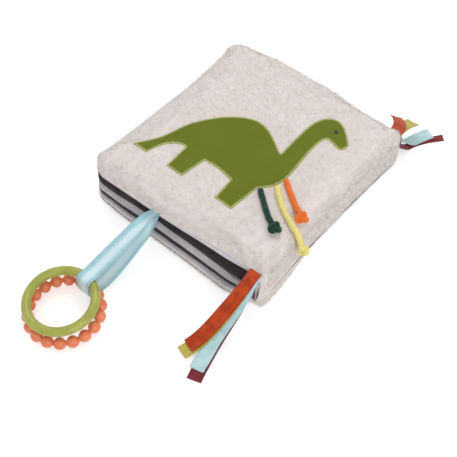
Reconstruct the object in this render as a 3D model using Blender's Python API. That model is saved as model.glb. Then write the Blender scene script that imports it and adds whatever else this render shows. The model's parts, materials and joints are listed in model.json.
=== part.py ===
"""Crinkle cloth book: a padded book for a baby, with plush covers, two padded leaves that
crackle, fabric tags, and two teether rings on a ribbon loop.

The book lies closed on its back cover. +X runs from the open fore-edge to the spine, +Y from
the tail edge to the head edge, and +Z is up. The origin is under the middle of the covers.
"""
import bpy
import bmesh
from math import asin, atan2, cos, degrees, pi, radians, sin, sqrt
from mathutils import Matrix, Vector

mm = 0.001

# Clearances
seat_gap = 0.3 * mm               # between two pieces that touch
page_gap = 0.4 * mm               # between a leaf and what lies next to it
fold_standoff = 0.2 * mm          # a fold's axis lies this far outside the plush

# Covers
cover_width = 162.0 * mm          # fore-edge to spine
cover_length = 179.0 * mm         # tail to head
fore_corner_radius = 14.0 * mm
spine_corner_radius = 6.0 * mm
side_draw_in = 1.8 * mm           # how far a sewn side pulls in between its corners
plush_thickness = 3.0 * mm        # pile and backing
lining_thickness = 0.8 * mm
film_thickness = 0.4 * mm
film_margin = 10.0 * mm           # from the cover's edge to the crackling film's edge
front_cover_rise = 9.4 * mm       # from the seam to the shoulder's top
front_shoulder = 9.0 * mm         # width of the rounding at the edge
front_crown = 1.4 * mm
crown_reach = 35.0 * mm           # the crown rises over this distance from the edge
back_cover_rise = 8.0 * mm
back_shoulder = 8.0 * mm
draw_back = 8.0 * mm              # the front cover's tail side draws back by this at the spine
draw_back_rise = 4.7 * mm         # the draw-back is full from this height above its seam
draw_back_full = 55.0 * mm        # the draw-back is full from here to the spine
draw_back_reach = 45.0 * mm       # it fades out over this distance from the tail edge
lining_draw_back_share = 0.55     # the lining stays further out, except under the tail tuft

# Leaves
leaf_thickness = 9.4 * mm
leaf_margin = 0.6 * mm            # the leaves are this much smaller than the covers
leaf_corner_radius = 12.0 * mm
leaf_shoulder = 5.0 * mm
leaf_draw_in = 1.2 * mm
leaf_end_radius = 0.6 * mm        # the bound edge turns on this radius
page_fabric = 0.7 * mm
leaf_1_seam_share = 0.80          # the seam's height, as a share of the leaf's thickness
leaf_2_seam_share = 0.20

# Spine
spine_thickness = 6.5 * mm

# Dinosaur on the front cover
dinosaur_length = 124.0 * mm
dinosaur_height = 118.0 * mm
dinosaur_fore_margin = 14.8 * mm  # from the fore-edge to the tip of its tail
dinosaur_foot_margin = 33.2 * mm  # from the tail edge to its feet
felt_thickness = 1.2 * mm
stitch_margin = 0.5 * mm
stitch_width = 1.6 * mm
stitch_height = 0.5 * mm
eye_radius = 1.7 * mm
eye_place_share = (0.880, 0.914)

# Cords that hang from the dinosaur's belly
string_diameter = 4.6 * mm
knot_radius = 4.8 * mm
knot_length = 10.0 * mm
knot_tail_length = 3.0 * mm

# Ribbon tufts in the seams at the spine
tuft_ribbon_width = 10.5 * mm
ribbon_thickness = 0.8 * mm
tuft_inset = 7.0 * mm             # from the spine's face to the ribbons' middle
tuft_seam_lift = 4.1 * mm         # the uppermost ribbon's top above the front cover's seam
tuft_run = 60.0 * mm              # distance over which a ribbon comes down to the table
tuft_foot = 0.5 * mm              # height of the lowest ribbon's middle at its foot

# Ribbon loop
loop_width = 12.7 * mm
loop_place = -15.5 * mm           # its middle at the seam
loop_fold_x = -19.0 * mm          # its middle where it goes round the rings
loop_skew = 4.0 * mm              # the lower leg lies this far to the spine's side
loop_table_gap = 0.1 * mm
loop_upper_shares = ((0.0, 0.0), (0.2, 0.12), (0.45, 0.36), (0.7, 0.68), (0.9, 0.95), (1.0, 1.0))
loop_lower_shares = ((0.0, 0.0, 0.0), (0.15, 0.08, 0.45), (0.4, 0.34, 0.95), (0.65, 0.64, 1.0),
                     (0.88, 0.90, 0.5), (1.0, 1.0, 0.0))

# Teether rings
smooth_ring_radius = 24.2 * mm    # to the middle of the tube
smooth_ring_tube = 3.4 * mm       # the tube's radius
smooth_ring_x = -21.5 * mm
smooth_ring_reach = 88.7 * mm     # from the tail edge to its middle
smooth_ring_tilt = radians(4.0)   # the side next to the book is held up by the ribbon
bead_ring_radius = 25.6 * mm
bead_count = 18
bead_radius = 4.4 * mm
bead_neck_radius = 1.7 * mm
bead_ring_x = -18.7 * mm
bead_ring_reach = 89.8 * mm

# Facets
side_steps = 5
corner_steps = 4
shoulder_steps = 4
fold_steps = 4
overrun = 20.0 * mm               # a cutting plane's or a section's reach past the solid

# Heights of the layers, from the table up
back_rim = back_cover_rise
back_lining_bottom = back_rim + seat_gap
back_lining_top = back_lining_bottom + lining_thickness
leaf_2_bottom = back_lining_top + page_gap
leaf_2_top = leaf_2_bottom + leaf_thickness
leaf_1_bottom = leaf_2_top + page_gap
leaf_1_top = leaf_1_bottom + leaf_thickness
front_lining_bottom = leaf_1_top + page_gap
front_lining_top = front_lining_bottom + lining_thickness
front_rim = front_lining_top + seat_gap
front_top = front_rim + front_cover_rise + front_crown
leaf_1_seam = leaf_1_bottom + leaf_1_seam_share * leaf_thickness
leaf_2_seam = leaf_2_bottom + leaf_2_seam_share * leaf_thickness

# Places across the book
half_width = cover_width / 2
half_length = cover_length / 2
spine_inner = half_width - spine_thickness
seam_draw_back = draw_back * (front_rim - back_rim) / (front_rim + draw_back_rise - back_rim)
dinosaur_left = dinosaur_fore_margin - half_width
dinosaur_foot_line = dinosaur_foot_margin - half_length
tuft_place = half_width - tuft_inset
tuft_top = front_rim + tuft_seam_lift
smooth_ring_y = -half_length - smooth_ring_reach
bead_ring_y = -half_length - bead_ring_reach
leaf_axis_x = spine_inner - seat_gap - leaf_end_radius
leaf_spine_end = leaf_axis_x + leaf_end_radius


def shoulder(inset, width, rise):
    """Height of a rounded edge at a distance inside it."""
    share = min(inset / width, 1.0)
    return rise * sqrt(1.0 - (1.0 - share) ** 2)


def crown(inset):
    """Extra height of the stuffed front cover at a distance inside its edge."""
    share = min(inset / crown_reach, 1.0)
    return front_crown * (1.0 - (1.0 - share) ** 2)


def fold_point(width, rise):
    """Inset and height of the point where a rounded edge slopes at 45 degrees."""
    diagonal = sqrt(width ** 2 + rise ** 2)
    return width * (1.0 - width / diagonal), rise * rise / diagonal


def smooth_share(value, low, high):
    """0 up to low, 1 from high on, and a smooth rise between them."""
    share = min(max((value - low) / (high - low), 0.0), 1.0)
    return share * share * (3.0 - 2.0 * share)


back_fold_inset, back_fold_rise = fold_point(back_shoulder, back_cover_rise)
front_fold_inset, front_fold_rise = fold_point(front_shoulder, front_cover_rise)
fold_step = fold_standoff / sqrt(2.0)
spine_fold = Vector((half_width - back_fold_inset + fold_step, 0.0,
                     back_rim - back_fold_rise - fold_step))
cover_fold = Vector((half_width - front_fold_inset + fold_step, 0.0,
                     front_rim + front_fold_rise + crown(front_fold_inset) + fold_step))
leaf_1_axis = Vector((leaf_axis_x, 0.0, leaf_1_seam))
leaf_2_axis = Vector((leaf_axis_x, 0.0, leaf_2_seam))


# Scene and object helpers
for old in list(bpy.data.objects):
    bpy.data.objects.remove(old, do_unlink=True)

places = {}


def pivot(name, place, parent=None):
    """An empty on a joint's axis. Pieces that move with the joint hang from it."""
    empty = bpy.data.objects.new(name, None)
    bpy.context.collection.objects.link(empty)
    empty.parent = parent
    empty.location = place - (places[parent.name] if parent else Vector())
    places[name] = place
    return empty


def finish(name, colour, roughness):
    """A material with the real piece's colour and roughness."""
    material = bpy.data.materials.new(name)
    material.use_nodes = True
    shader = material.node_tree.nodes["Principled BSDF"]
    shader.inputs["Base Color"].default_value = (*colour, 1.0)
    shader.inputs["Roughness"].default_value = roughness
    shader.inputs["Metallic"].default_value = 0.0
    return material


def keep(bm, name, parent, material, place=None, turn=None):
    """Turn a mesh in the book's frame, or in its own about place, into a named object."""
    bmesh.ops.recalc_face_normals(bm, faces=bm.faces)
    mesh = bpy.data.meshes.new(name)
    bm.to_mesh(mesh)
    bm.free()
    mesh.shade_smooth()
    mesh.set_sharp_from_angle(angle=radians(40.0))
    mesh.materials.append(material)
    piece = bpy.data.objects.new(name, mesh)
    bpy.context.collection.objects.link(piece)
    piece.parent = parent
    piece.location = (place or Vector()) - places[parent.name]
    if turn is not None:
        piece.rotation_euler = turn
    return piece


def loft(rings, closed=False, strip_ends=False):
    """A closed body through rings of points that match one to one. With strip_ends each end
    is closed by a row of quads, for a ring that goes up one side and back down the other."""
    bm = bmesh.new()
    rows = [[bm.verts.new(point) for point in ring] for ring in rings]
    pairs = list(zip(rows, rows[1:]))
    if closed:
        pairs.append((rows[-1], rows[0]))
    for low, high in pairs:
        for i in range(len(low)):
            j = (i + 1) % len(low)
            bm.faces.new((low[i], low[j], high[j], high[i]))
    for row in () if closed else (rows[0][::-1], rows[-1]):
        if strip_ends:
            for i in range(len(row) // 2 - 1):
                bm.faces.new((row[i], row[i + 1], row[-2 - i], row[-1 - i]))
        else:
            bm.faces.new(row)
    return bm


def cut(bm, point, normal):
    """Slice a body and keep the side that the normal points away from."""
    everything = bm.verts[:] + bm.edges[:] + bm.faces[:]
    result = bmesh.ops.bisect_plane(bm, geom=everything, plane_co=point, plane_no=normal,
                                    clear_outer=True)
    edges = [item for item in result["geom_cut"] if isinstance(item, bmesh.types.BMEdge)]
    bmesh.ops.triangle_fill(bm, edges=edges, use_beauty=True)
    return bm


def smooth_route(points, steps):
    """Points along a smooth curve through the route's own points."""
    ends = [points[0] * 2 - points[1], *points, points[-1] * 2 - points[-2]]
    route = []
    for a, b, c, d in zip(ends, ends[1:], ends[2:], ends[3:]):
        for k in range(steps):
            t = k / steps
            route.append(0.5 * (2 * b + (c - a) * t + (2 * a - 5 * b + 4 * c - d) * t ** 2
                                + (3 * b - a - 3 * c + d) * t ** 3))
    return route + [points[-1]]


# Plan outline of a cover or leaf
class Plan:
    """A rounded rectangle whose sewn sides pull in between the corners."""

    def __init__(self, fore, spine, half, fore_radius, spine_radius, draw_in):
        self.fore, self.spine, self.half = fore, spine, half
        self.fore_radius, self.spine_radius, self.draw_in = fore_radius, spine_radius, draw_in

    def side(self, start, end, pull):
        """Points of one side, without its end, pulled in at its middle."""
        return [start.lerp(end, k / side_steps)
                + pull * 4.0 * (k / side_steps) * (1.0 - k / side_steps)
                for k in range(side_steps)]

    def ring(self, inset, z):
        """The outline at a distance inside the edge, anticlockwise from above."""
        keep_share = 1.0 - inset / self.half
        r_spine, r_fore = self.spine_radius * keep_share, self.fore_radius * keep_share
        pull = self.draw_in * keep_share
        x0, x1, y1 = self.fore + inset, self.spine - inset, self.half - inset
        corners = ((x1 - r_spine, r_spine - y1, r_spine, -0.5), (x1 - r_spine, y1 - r_spine, r_spine, 0.0),
                   (x0 + r_fore, y1 - r_fore, r_fore, 0.5), (x0 + r_fore, r_fore - y1, r_fore, 1.0))
        pulls = (Vector((0.0, 0.0)), Vector((0.0, -pull)), Vector((pull, 0.0)), Vector((0.0, pull)))
        arcs = [[Vector((x + r * cos(pi * (turn + 0.5 * k / corner_steps)),
                         y + r * sin(pi * (turn + 0.5 * k / corner_steps))))
                 for k in range(corner_steps + 1)] for x, y, r, turn in corners]
        flat = []
        for i, arc in enumerate(arcs):
            flat += arc[:-1] + self.side(arc[-1], arcs[(i + 1) % 4][0], pulls[i])
        return [Vector((point.x, point.y, z)) for point in flat]

    def tail_edge(self, x):
        """Where the drawn-in tail edge runs at a given x."""
        start, end = self.fore + self.fore_radius, self.spine - self.spine_radius
        share = min(max((x - start) / (end - start), 0.0), 1.0)
        return -self.half + self.draw_in * 4.0 * share * (1.0 - share)


cover_plan = Plan(-half_width, half_width, half_length, fore_corner_radius, spine_corner_radius,
                  side_draw_in)
leaf_plan = Plan(leaf_margin - half_width, leaf_spine_end, half_length - leaf_margin,
                 leaf_corner_radius, leaf_end_radius, leaf_draw_in)


def dome(plan, edge, z, width, rise, extra=None):
    """Rings of a padded face, from its seam at z to its flat middle."""
    insets = [width * (1.0 - cos(0.5 * pi * k / shoulder_steps)) for k in range(shoulder_steps + 1)]
    if extra:
        insets += [crown_reach * share for share in (0.45, 0.7, 1.0)]
    up = 1.0 if rise > 0 else -1.0
    return [plan.ring(edge + inset, z + up * shoulder(inset, width, abs(rise))
                      + (extra(inset) if extra else 0.0)) for inset in insets]


def tray(plan, z, width, rise, skin, extra=None):
    """An open shell: a padded face of one fabric, open towards the seam."""
    lower = abs(rise) - skin
    inner = dome(plan, skin, z, width - skin, lower if rise > 0 else -lower, extra)
    return loft(inner[::-1] + dome(plan, 0.0, z, width, rise, extra))


def pulled_back(bm, lining=False):
    """Draw the tail end of a piece of the front cover or spine back towards the head."""
    flat = half_length - draw_back_reach
    for vert in bm.verts:
        x, y, z = vert.co
        full = front_rim + draw_back_rise
        rise = min(max((z - back_rim) / (full - back_rim), 0.0), 1.0)
        share = (rise * smooth_share(x, loop_place, draw_back_full)
                 * smooth_share(-y, flat, half_length - front_shoulder))
        if lining:
            out = lining_draw_back_share
            share *= out + (1.0 - out) * smooth_share(x, tuft_place - tuft_run / 2, tuft_place)
        vert.co.y += draw_back * share
    return bm


def plate(plan, inset, bottom, top):
    """A flat sheet with the plan's outline."""
    return loft([plan.ring(inset, bottom), plan.ring(inset, top)])


def fold_plane(axis, inner_z, side):
    """A point and a normal of the plane where a cover meets the spine at a fold."""
    along = Vector((spine_inner, 0.0, inner_z)) - axis
    normal = Vector((-along.z, 0.0, along.x)).normalized()
    if normal.x < 0:
        normal = -normal
    return axis + normal * side * seat_gap / 2, normal


# Materials
plush_cream = finish("plush_cream", (0.70, 0.64, 0.61), 0.95)
page_light = finish("page_light", (0.62, 0.60, 0.60), 0.85)
page_black = finish("page_black", (0.02, 0.018, 0.02), 0.85)
wadding_white = finish("wadding_white", (0.85, 0.85, 0.83), 0.95)
film_clear = finish("film_clear", (0.80, 0.82, 0.84), 0.30)
felt_green = finish("felt_green", (0.155, 0.19, 0.023), 0.90)
stitch_olive = finish("stitch_olive", (0.19, 0.19, 0.06), 0.70)
eye_dark = finish("eye_dark", (0.02, 0.02, 0.02), 0.50)
cord_green = finish("cord_green", (0.01, 0.06, 0.035), 0.90)
cord_yellow = finish("cord_yellow", (0.78, 0.65, 0.13), 0.90)
cord_orange = finish("cord_orange", (0.80, 0.16, 0.03), 0.90)
ribbon_orange = finish("ribbon_orange", (0.60, 0.07, 0.015), 0.80)
ribbon_olive = finish("ribbon_olive", (0.42, 0.37, 0.06), 0.80)
ribbon_blue = finish("ribbon_blue", (0.42, 0.66, 0.70), 0.35)
ribbon_maroon = finish("ribbon_maroon", (0.17, 0.02, 0.03), 0.80)
ring_green = finish("ring_green", (0.35, 0.42, 0.06), 0.35)
ring_coral = finish("ring_coral", (0.78, 0.19, 0.07), 0.45)

# Joint axes
book = pivot("book", Vector())
spine_pivot = pivot("spine_fold", spine_fold, book)
cover_pivot = pivot("cover_fold", cover_fold, spine_pivot)
leaf_1_pivot = pivot("leaf_1_turn", leaf_1_axis, spine_pivot)
leaf_2_pivot = pivot("leaf_2_turn", leaf_2_axis, spine_pivot)


def front_cover():
    """Plush tray, wadding, crackling film and lining, cut off at the upper fold."""
    point, normal = fold_plane(cover_fold, front_lining_bottom, -1.0)
    plush = tray(cover_plan, front_rim, front_shoulder, front_cover_rise, plush_thickness, crown)
    keep(cut(pulled_back(plush), point, normal), "front_plush", cover_pivot, plush_cream)
    lining = plate(cover_plan, 0.0, front_lining_bottom, front_lining_top)
    keep(cut(pulled_back(lining, True), point, normal), "front_lining", cover_pivot, page_light)
    film = plate(cover_plan, film_margin, front_rim, front_rim + film_thickness)
    keep(cut(pulled_back(film), point, normal), "front_crinkle_film", cover_pivot, film_clear)
    skin = plush_thickness + seat_gap
    bottom = front_rim + film_thickness + seat_gap
    rings = dome(cover_plan, skin, bottom, front_shoulder - skin,
                 front_cover_rise - plush_thickness - 2 * seat_gap - film_thickness, crown)
    keep(cut(pulled_back(loft(rings)), point, normal), "front_wadding", cover_pivot,
         wadding_white)


def back_cover():
    """The same layers the other way up, cut off at the lower fold."""
    point, normal = fold_plane(spine_fold, back_lining_top, -1.0)
    plush = tray(cover_plan, back_rim, back_shoulder, -back_cover_rise, plush_thickness)
    keep(cut(plush, point, normal), "back_plush", book, plush_cream)
    lining = plate(cover_plan, 0.0, back_lining_bottom, back_lining_top)
    keep(cut(lining, point, normal), "back_lining", book, page_light)
    film = plate(cover_plan, film_margin, back_rim - film_thickness, back_rim)
    keep(cut(film, point, normal), "back_crinkle_film", book, film_clear)
    skin = plush_thickness + seat_gap
    top = back_rim - film_thickness - seat_gap
    rings = dome(cover_plan, skin, top, back_shoulder - skin,
                 plush_thickness + 2 * seat_gap + film_thickness - back_cover_rise)
    keep(cut(loft(rings), point, normal), "back_wadding", book, wadding_white)


def spine_section(skin):
    """The spine's outer contour pulled in by skin, from under the book to over it."""
    low = Vector((half_width - back_shoulder, back_rim))
    high = Vector((half_width - front_shoulder, front_rim))
    points = []
    for k in range(shoulder_steps + 1):
        turn = 0.5 * pi * k / shoulder_steps
        points.append(Vector((low.x + (back_shoulder - skin) * sin(turn),
                              low.y - (back_cover_rise - skin) * cos(turn))))
    for k in range(shoulder_steps + 1):
        turn = 0.5 * pi * k / shoulder_steps
        inset = front_shoulder * (1.0 - cos(turn))
        points.append(Vector((high.x + (front_shoulder - skin) * cos(turn),
                              high.y + (front_cover_rise - skin) * sin(turn) + crown(inset))))
    return points


def spine_rings():
    """Outer and inner contours of the plush skin from tail to head. Its ends are rounded
    and closed."""
    outer, inner = spine_section(0.0), spine_section(plush_thickness)
    closed_x = spine_inner + lining_thickness + seat_gap
    rings = []
    for end_share in (-1.0, 1.0):
        for k in range(corner_steps + 1):
            turn = 0.5 * pi * (k if end_share > 0 else corner_steps - k) / corner_steps
            inset = spine_corner_radius * (1.0 - sin(pi / 2 - turn))
            y = end_share * (half_length - spine_corner_radius + spine_corner_radius * sin(turn))
            slim = 1.0 - inset / spine_thickness / 2
            hollow = min((half_length - abs(y)) / plush_thickness, 1.0)
            ring = [Vector((spine_inner + (point.x - spine_inner) * slim, y, point.y))
                    for point in outer]
            for point in inner[::-1]:
                x = spine_inner + (point.x - spine_inner) * slim
                ring.append(Vector((closed_x + (x - closed_x) * hollow, y, point.y)))
            rings.append(ring)
    return rings


def spine():
    """Plush skin, a strip of wadding and the lining between the two folds."""
    low_point, low_normal = fold_plane(spine_fold, back_lining_top, 1.0)
    high_point, high_normal = fold_plane(cover_fold, front_lining_bottom, 1.0)

    def both_cuts(bm):
        return cut(cut(pulled_back(bm), low_point, -low_normal), high_point, -high_normal)

    skin = loft(spine_rings(), strip_ends=True)
    keep(both_cuts(skin), "spine_plush", spine_pivot, plush_cream)
    layers = (("spine_lining", spine_inner, spine_inner + lining_thickness, page_light, 0.0),
              ("spine_wadding", spine_inner + lining_thickness + seat_gap,
               half_width - plush_thickness - seat_gap, wadding_white, spine_corner_radius))
    for name, inner, outer, material, margin in layers:
        strip = ((inner, back_lining_top), (outer, back_lining_top), (outer, front_lining_bottom),
                 (inner, front_lining_bottom))
        ends = [[Vector((x, end * (half_length - margin), z)) for x, z in strip] for end in (-1, 1)]
        keep(both_cuts(loft(ends)), name, spine_pivot, material)


def leaf(number, bottom, seam, parent, upper_cloth, lower_cloth):
    """Two page fabrics sewn round their edge, with wadding and crackling film between them."""
    top = bottom + leaf_thickness
    upper_rim, lower_rim = seam + seat_gap / 2, seam - seat_gap / 2
    upper = tray(leaf_plan, upper_rim, leaf_shoulder, top - upper_rim, page_fabric)
    keep(upper, f"leaf_{number}_upper_page", parent, upper_cloth)
    lower = tray(leaf_plan, lower_rim, leaf_shoulder, bottom - lower_rim, page_fabric)
    keep(lower, f"leaf_{number}_lower_page", parent, lower_cloth)
    skin = page_fabric + seat_gap
    film = plate(leaf_plan, film_margin, bottom + skin, bottom + skin + film_thickness)
    keep(film, f"leaf_{number}_crinkle_film", parent, film_clear)
    width = leaf_shoulder - skin
    floor = bottom + skin + film_thickness + seat_gap
    below = dome(leaf_plan, skin, seam, width, floor - seam)
    above = dome(leaf_plan, skin, seam, width, top - skin - seam)
    keep(loft(below[::-1] + above[1:]), f"leaf_{number}_wadding", parent, wadding_white)


# Dinosaur, as shares of its length and height. Strokes meet at its corners.
dinosaur_stroke_shares = (
    ((0.0, 0.0), (0.090, 0.155), (0.140, 0.335), (0.220, 0.480), (0.325, 0.595), (0.456, 0.660),
     (0.577, 0.630), (0.685, 0.560), (0.735, 0.530)),
    ((0.735, 0.530), (0.727, 0.700), (0.728, 0.860), (0.756, 0.950), (0.812, 0.998), (0.885, 0.985),
     (0.985, 0.890), (1.0, 0.845), (0.975, 0.808), (0.918, 0.826), (0.872, 0.832), (0.852, 0.790),
     (0.848, 0.686), (0.862, 0.543), (0.873, 0.390), (0.845, 0.290), (0.790, 0.225)),
    ((0.790, 0.225), (0.772, 0.0)),
    ((0.772, 0.0), (0.653, 0.0)),
    ((0.653, 0.0), (0.636, 0.172)),
    ((0.636, 0.172), (0.520, 0.190), (0.413, 0.186)),
    ((0.413, 0.186), (0.390, 0.0)),
    ((0.390, 0.0), (0.274, 0.0)),
    ((0.274, 0.0), (0.261, 0.194)),
    ((0.261, 0.194), (0.205, 0.186), (0.140, 0.120), (0.102, 0.0)),
    ((0.102, 0.0), (0.0, 0.0)),
)


def dinosaur_outline():
    """The dinosaur's edge in the book's frame, clockwise from above."""
    outline = []
    for stroke in dinosaur_stroke_shares:
        points = [Vector((dinosaur_left + u * dinosaur_length,
                          dinosaur_foot_line + v * dinosaur_height)) for u, v in stroke]
        outline += smooth_route(points, 2 if len(points) > 2 else 1)[:-1]
    return outline


def inward(outline, distance):
    """The outline moved in by a distance, with mitred corners."""
    moved = []
    for i, point in enumerate(outline):
        before = (point - outline[i - 1]).normalized()
        after = (outline[(i + 1) % len(outline)] - point).normalized()
        normal = Vector((before.y + after.y, -before.x - after.x)).normalized()
        stretch = max(normal.dot(Vector((before.y, -before.x))), 0.6)
        moved.append(point + normal * distance / stretch)
    return moved


def at_height(outline, z):
    """Lift a flat outline to a height."""
    return [Vector((point.x, point.y, z)) for point in outline]


def dinosaur():
    """Felt shape, its stitched border and its eye, on top of the front cover."""
    outline = dinosaur_outline()
    felt_bottom = front_top + seat_gap
    felt_top = felt_bottom + felt_thickness
    keep(loft([at_height(outline, felt_bottom), at_height(outline, felt_top)]),
         "dinosaur_applique", cover_pivot, felt_green)
    low, high = felt_top + seat_gap, felt_top + seat_gap + stitch_height
    outer, inner = inward(outline, stitch_margin), inward(outline, stitch_margin + stitch_width)
    keep(loft([at_height(outer, low), at_height(outer, high), at_height(inner, high),
               at_height(inner, low)], closed=True),
         "dinosaur_stitch_border", cover_pivot, stitch_olive)
    bm = bmesh.new()
    bmesh.ops.create_cone(bm, cap_ends=True, segments=12, radius1=eye_radius, radius2=eye_radius,
                          depth=stitch_height)
    eye = Vector((dinosaur_left + eye_place_share[0] * dinosaur_length,
                  dinosaur_foot_line + eye_place_share[1] * dinosaur_height,
                  low + stitch_height / 2))
    keep(bm, "dinosaur_eye", cover_pivot, eye_dark, eye)


# Routes of the belly cords in plan, from the dinosaur's belly to the knot
string_routes = {
    "green": ((37.2, -32.2), (42.5, -36.4), (48.0, -40.8), (53.0, -44.6), (57.5, -47.5), (62.0, -49.8)),
    "yellow": ((44.4, -22.0), (49.5, -26.8), (55.4, -31.6), (61.3, -35.6), (67.2, -38.8), (72.6, -41.4)),
    "orange": ((45.8, -13.2), (50.6, -16.9), (55.8, -20.6), (61.0, -24.2), (66.0, -27.4), (71.0, -30.4)),
}
string_materials = {"green": cord_green, "yellow": cord_yellow, "orange": cord_orange}


def belly_string(colour):
    """One soft cord that lies on the plush, and the knot and short tail at its end."""
    lie = front_top + seat_gap + string_diameter / 2
    points = [Vector((x * mm, y * mm, lie)) for x, y in string_routes[colour]]
    route = smooth_route(points, 2)
    curve = bpy.data.curves.new(f"{colour}_string", "CURVE")
    curve.dimensions = "3D"
    curve.bevel_depth = string_diameter / 2
    curve.bevel_resolution = 2
    curve.use_fill_caps = True
    spline = curve.splines.new("POLY")
    spline.points.add(len(route) - 1)
    for target, point in zip(spline.points, route):
        target.co = (*(point - places["cover_fold"]), 1.0)
    cord = bpy.data.objects.new(f"{colour}_string", curve)
    bpy.context.collection.objects.link(cord)
    cord.parent = cover_pivot
    curve.materials.append(string_materials[colour])

    along = (points[-1] - points[-2]).normalized()
    across = Vector((-along.y, along.x, 0.0))
    start = points[-1] + along * seat_gap
    rings, steps = [], 10
    for k in range(steps + 1):
        share = k / steps
        swell = max(sin(pi * share), 0.0) ** 0.6 * (1.0 + 0.12 * cos(4 * pi * share))
        flat = min(string_diameter / 2 + (knot_radius - string_diameter / 2) * swell, knot_radius)
        centre = start + along * knot_length * share
        rings.append([centre + across * flat * cos(2 * pi * i / 10)
                      + Vector((0.0, 0.0, max(flat * sin(2 * pi * i / 10), -string_diameter / 2)))
                      for i in range(10)])
    tail_end = centre + along * knot_tail_length
    rings.append([tail_end + (point - centre) for point in rings[-1]])
    keep(loft(rings), f"{colour}_string_knot", cover_pivot, string_materials[colour])


def ribbon(route, width, skews=None):
    """A flat ribbon along a route in the YZ plane, with its width along X."""
    rings = []
    for i, point in enumerate(route):
        ahead, behind = route[min(i + 1, len(route) - 1)], route[max(i - 1, 0)]
        along = Vector((0.0, ahead.y - behind.y, ahead.z - behind.z)).normalized()
        up = Vector((0.0, -along.z, along.y)) * ribbon_thickness / 2
        side = Vector((width / 2, 0.0, 0.0))
        rings.append([point - side - up, point + side - up, point + side + up, point - side + up])
    return loft(rings)


# Each ribbon's length and sideways sweep, as shares of the tuft's run, from the top down
tail_ribbon_shares = (("orange", 1.00, -0.14), ("olive", 1.09, -0.13), ("blue", 1.12, 0.07),
                      ("maroon", 1.22, 0.19))
head_ribbon_shares = (("orange", 0.38, -0.167), ("olive", 0.62, -0.055), ("blue", 0.74, 0.125),
                      ("maroon", 0.82, 0.345))
ribbon_materials = {"orange": ribbon_orange, "olive": ribbon_olive, "blue": ribbon_blue,
                    "maroon": ribbon_maroon}
ribbon_pitch = ribbon_thickness + seat_gap


def tuft(end, toward, edge, shares):
    """Four ribbons sewn in one seam, that come down to the table and spread. They lie level
    as far as the leaves' edge first."""
    root = edge + seat_gap
    level_run = half_length - edge
    hinge = pivot(f"{end}_tuft_swing", Vector((tuft_place, toward * root, tuft_top)), cover_pivot)
    for level, (colour, length_share, sweep_share) in enumerate(shares):
        start = tuft_top - ribbon_thickness / 2 - level * ribbon_pitch
        foot = tuft_foot + (len(shares) - 1 - level) * ribbon_pitch
        route = []
        for k in range(13):
            run = tuft_run * length_share * k / 12
            sag = smooth_share(run, level_run, tuft_run)
            x = tuft_place + tuft_run * sweep_share * (run / (tuft_run * length_share)) ** 2
            route.append(Vector((x, toward * (root + run), start + (foot - start) * sag)))
        keep(ribbon(route, tuft_ribbon_width), f"{end}_{colour}_ribbon", hinge,
             ribbon_materials[colour])


# Teether rings and the ribbon loop that holds them
bead_ring_lift = loop_table_gap + ribbon_thickness + seat_gap
bead_ring_tilt = asin(bead_ring_lift / (2 * bead_ring_radius))
bead_ring_z = bead_radius + bead_ring_lift / 2
smooth_ring_drop = smooth_ring_radius * sin(smooth_ring_tilt)
smooth_ring_z = 2 * bead_radius + seat_gap + smooth_ring_tube + smooth_ring_drop


def smooth_ring(parent):
    """A plain round ring, turned from a circle."""
    hinge = pivot("smooth_ring_turn", Vector((smooth_ring_x, smooth_ring_y, smooth_ring_z)), parent)
    bm = bmesh.new()
    bmesh.ops.create_circle(bm, segments=10, radius=smooth_ring_tube,
                            matrix=Matrix.Translation((smooth_ring_radius, 0.0, 0.0))
                            @ Matrix.Rotation(pi / 2, 4, "X"))
    bmesh.ops.spin(bm, geom=bm.verts[:] + bm.edges[:], axis=(0.0, 0.0, 1.0), cent=(0.0, 0.0, 0.0),
                   angle=2 * pi, steps=40, use_merge=True)
    keep(bm, "smooth_ring", hinge, ring_green, places[hinge.name], (smooth_ring_tilt, 0.0, 0.0))


def bead_ring(parent):
    """One moulded ring of round beads joined by short necks."""
    hinge = pivot("bead_ring_turn", Vector((bead_ring_x, bead_ring_y, bead_ring_z)), parent)
    steps, sides = 6, 8
    pitch = 2 * pi * bead_ring_radius / bead_count
    rings = []
    for k in range(bead_count * steps):
        turn = 2 * pi * k / (bead_count * steps)
        along = ((k % steps) / steps - 0.5) * pitch
        radius = max(sqrt(max(bead_radius ** 2 - along ** 2, 0.0)), bead_neck_radius)
        rings.append([Vector(((bead_ring_radius + radius * cos(2 * pi * i / sides)) * cos(turn),
                              (bead_ring_radius + radius * cos(2 * pi * i / sides)) * sin(turn),
                              radius * sin(2 * pi * i / sides))) for i in range(sides)])
    keep(loft(rings, closed=True), "bead_ring", hinge, ring_coral, places[hinge.name],
         (bead_ring_tilt, 0.0, 0.0))


def round_tube(centre_y, centre_z, radius, start, turn):
    """A quarter of the ribbon's way round a ring's tube."""
    return [Vector((loop_fold_x, centre_y + radius * cos(start + turn * k / fold_steps),
                    centre_z + radius * sin(start + turn * k / fold_steps)))
            for k in range(fold_steps + 1)]


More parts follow.
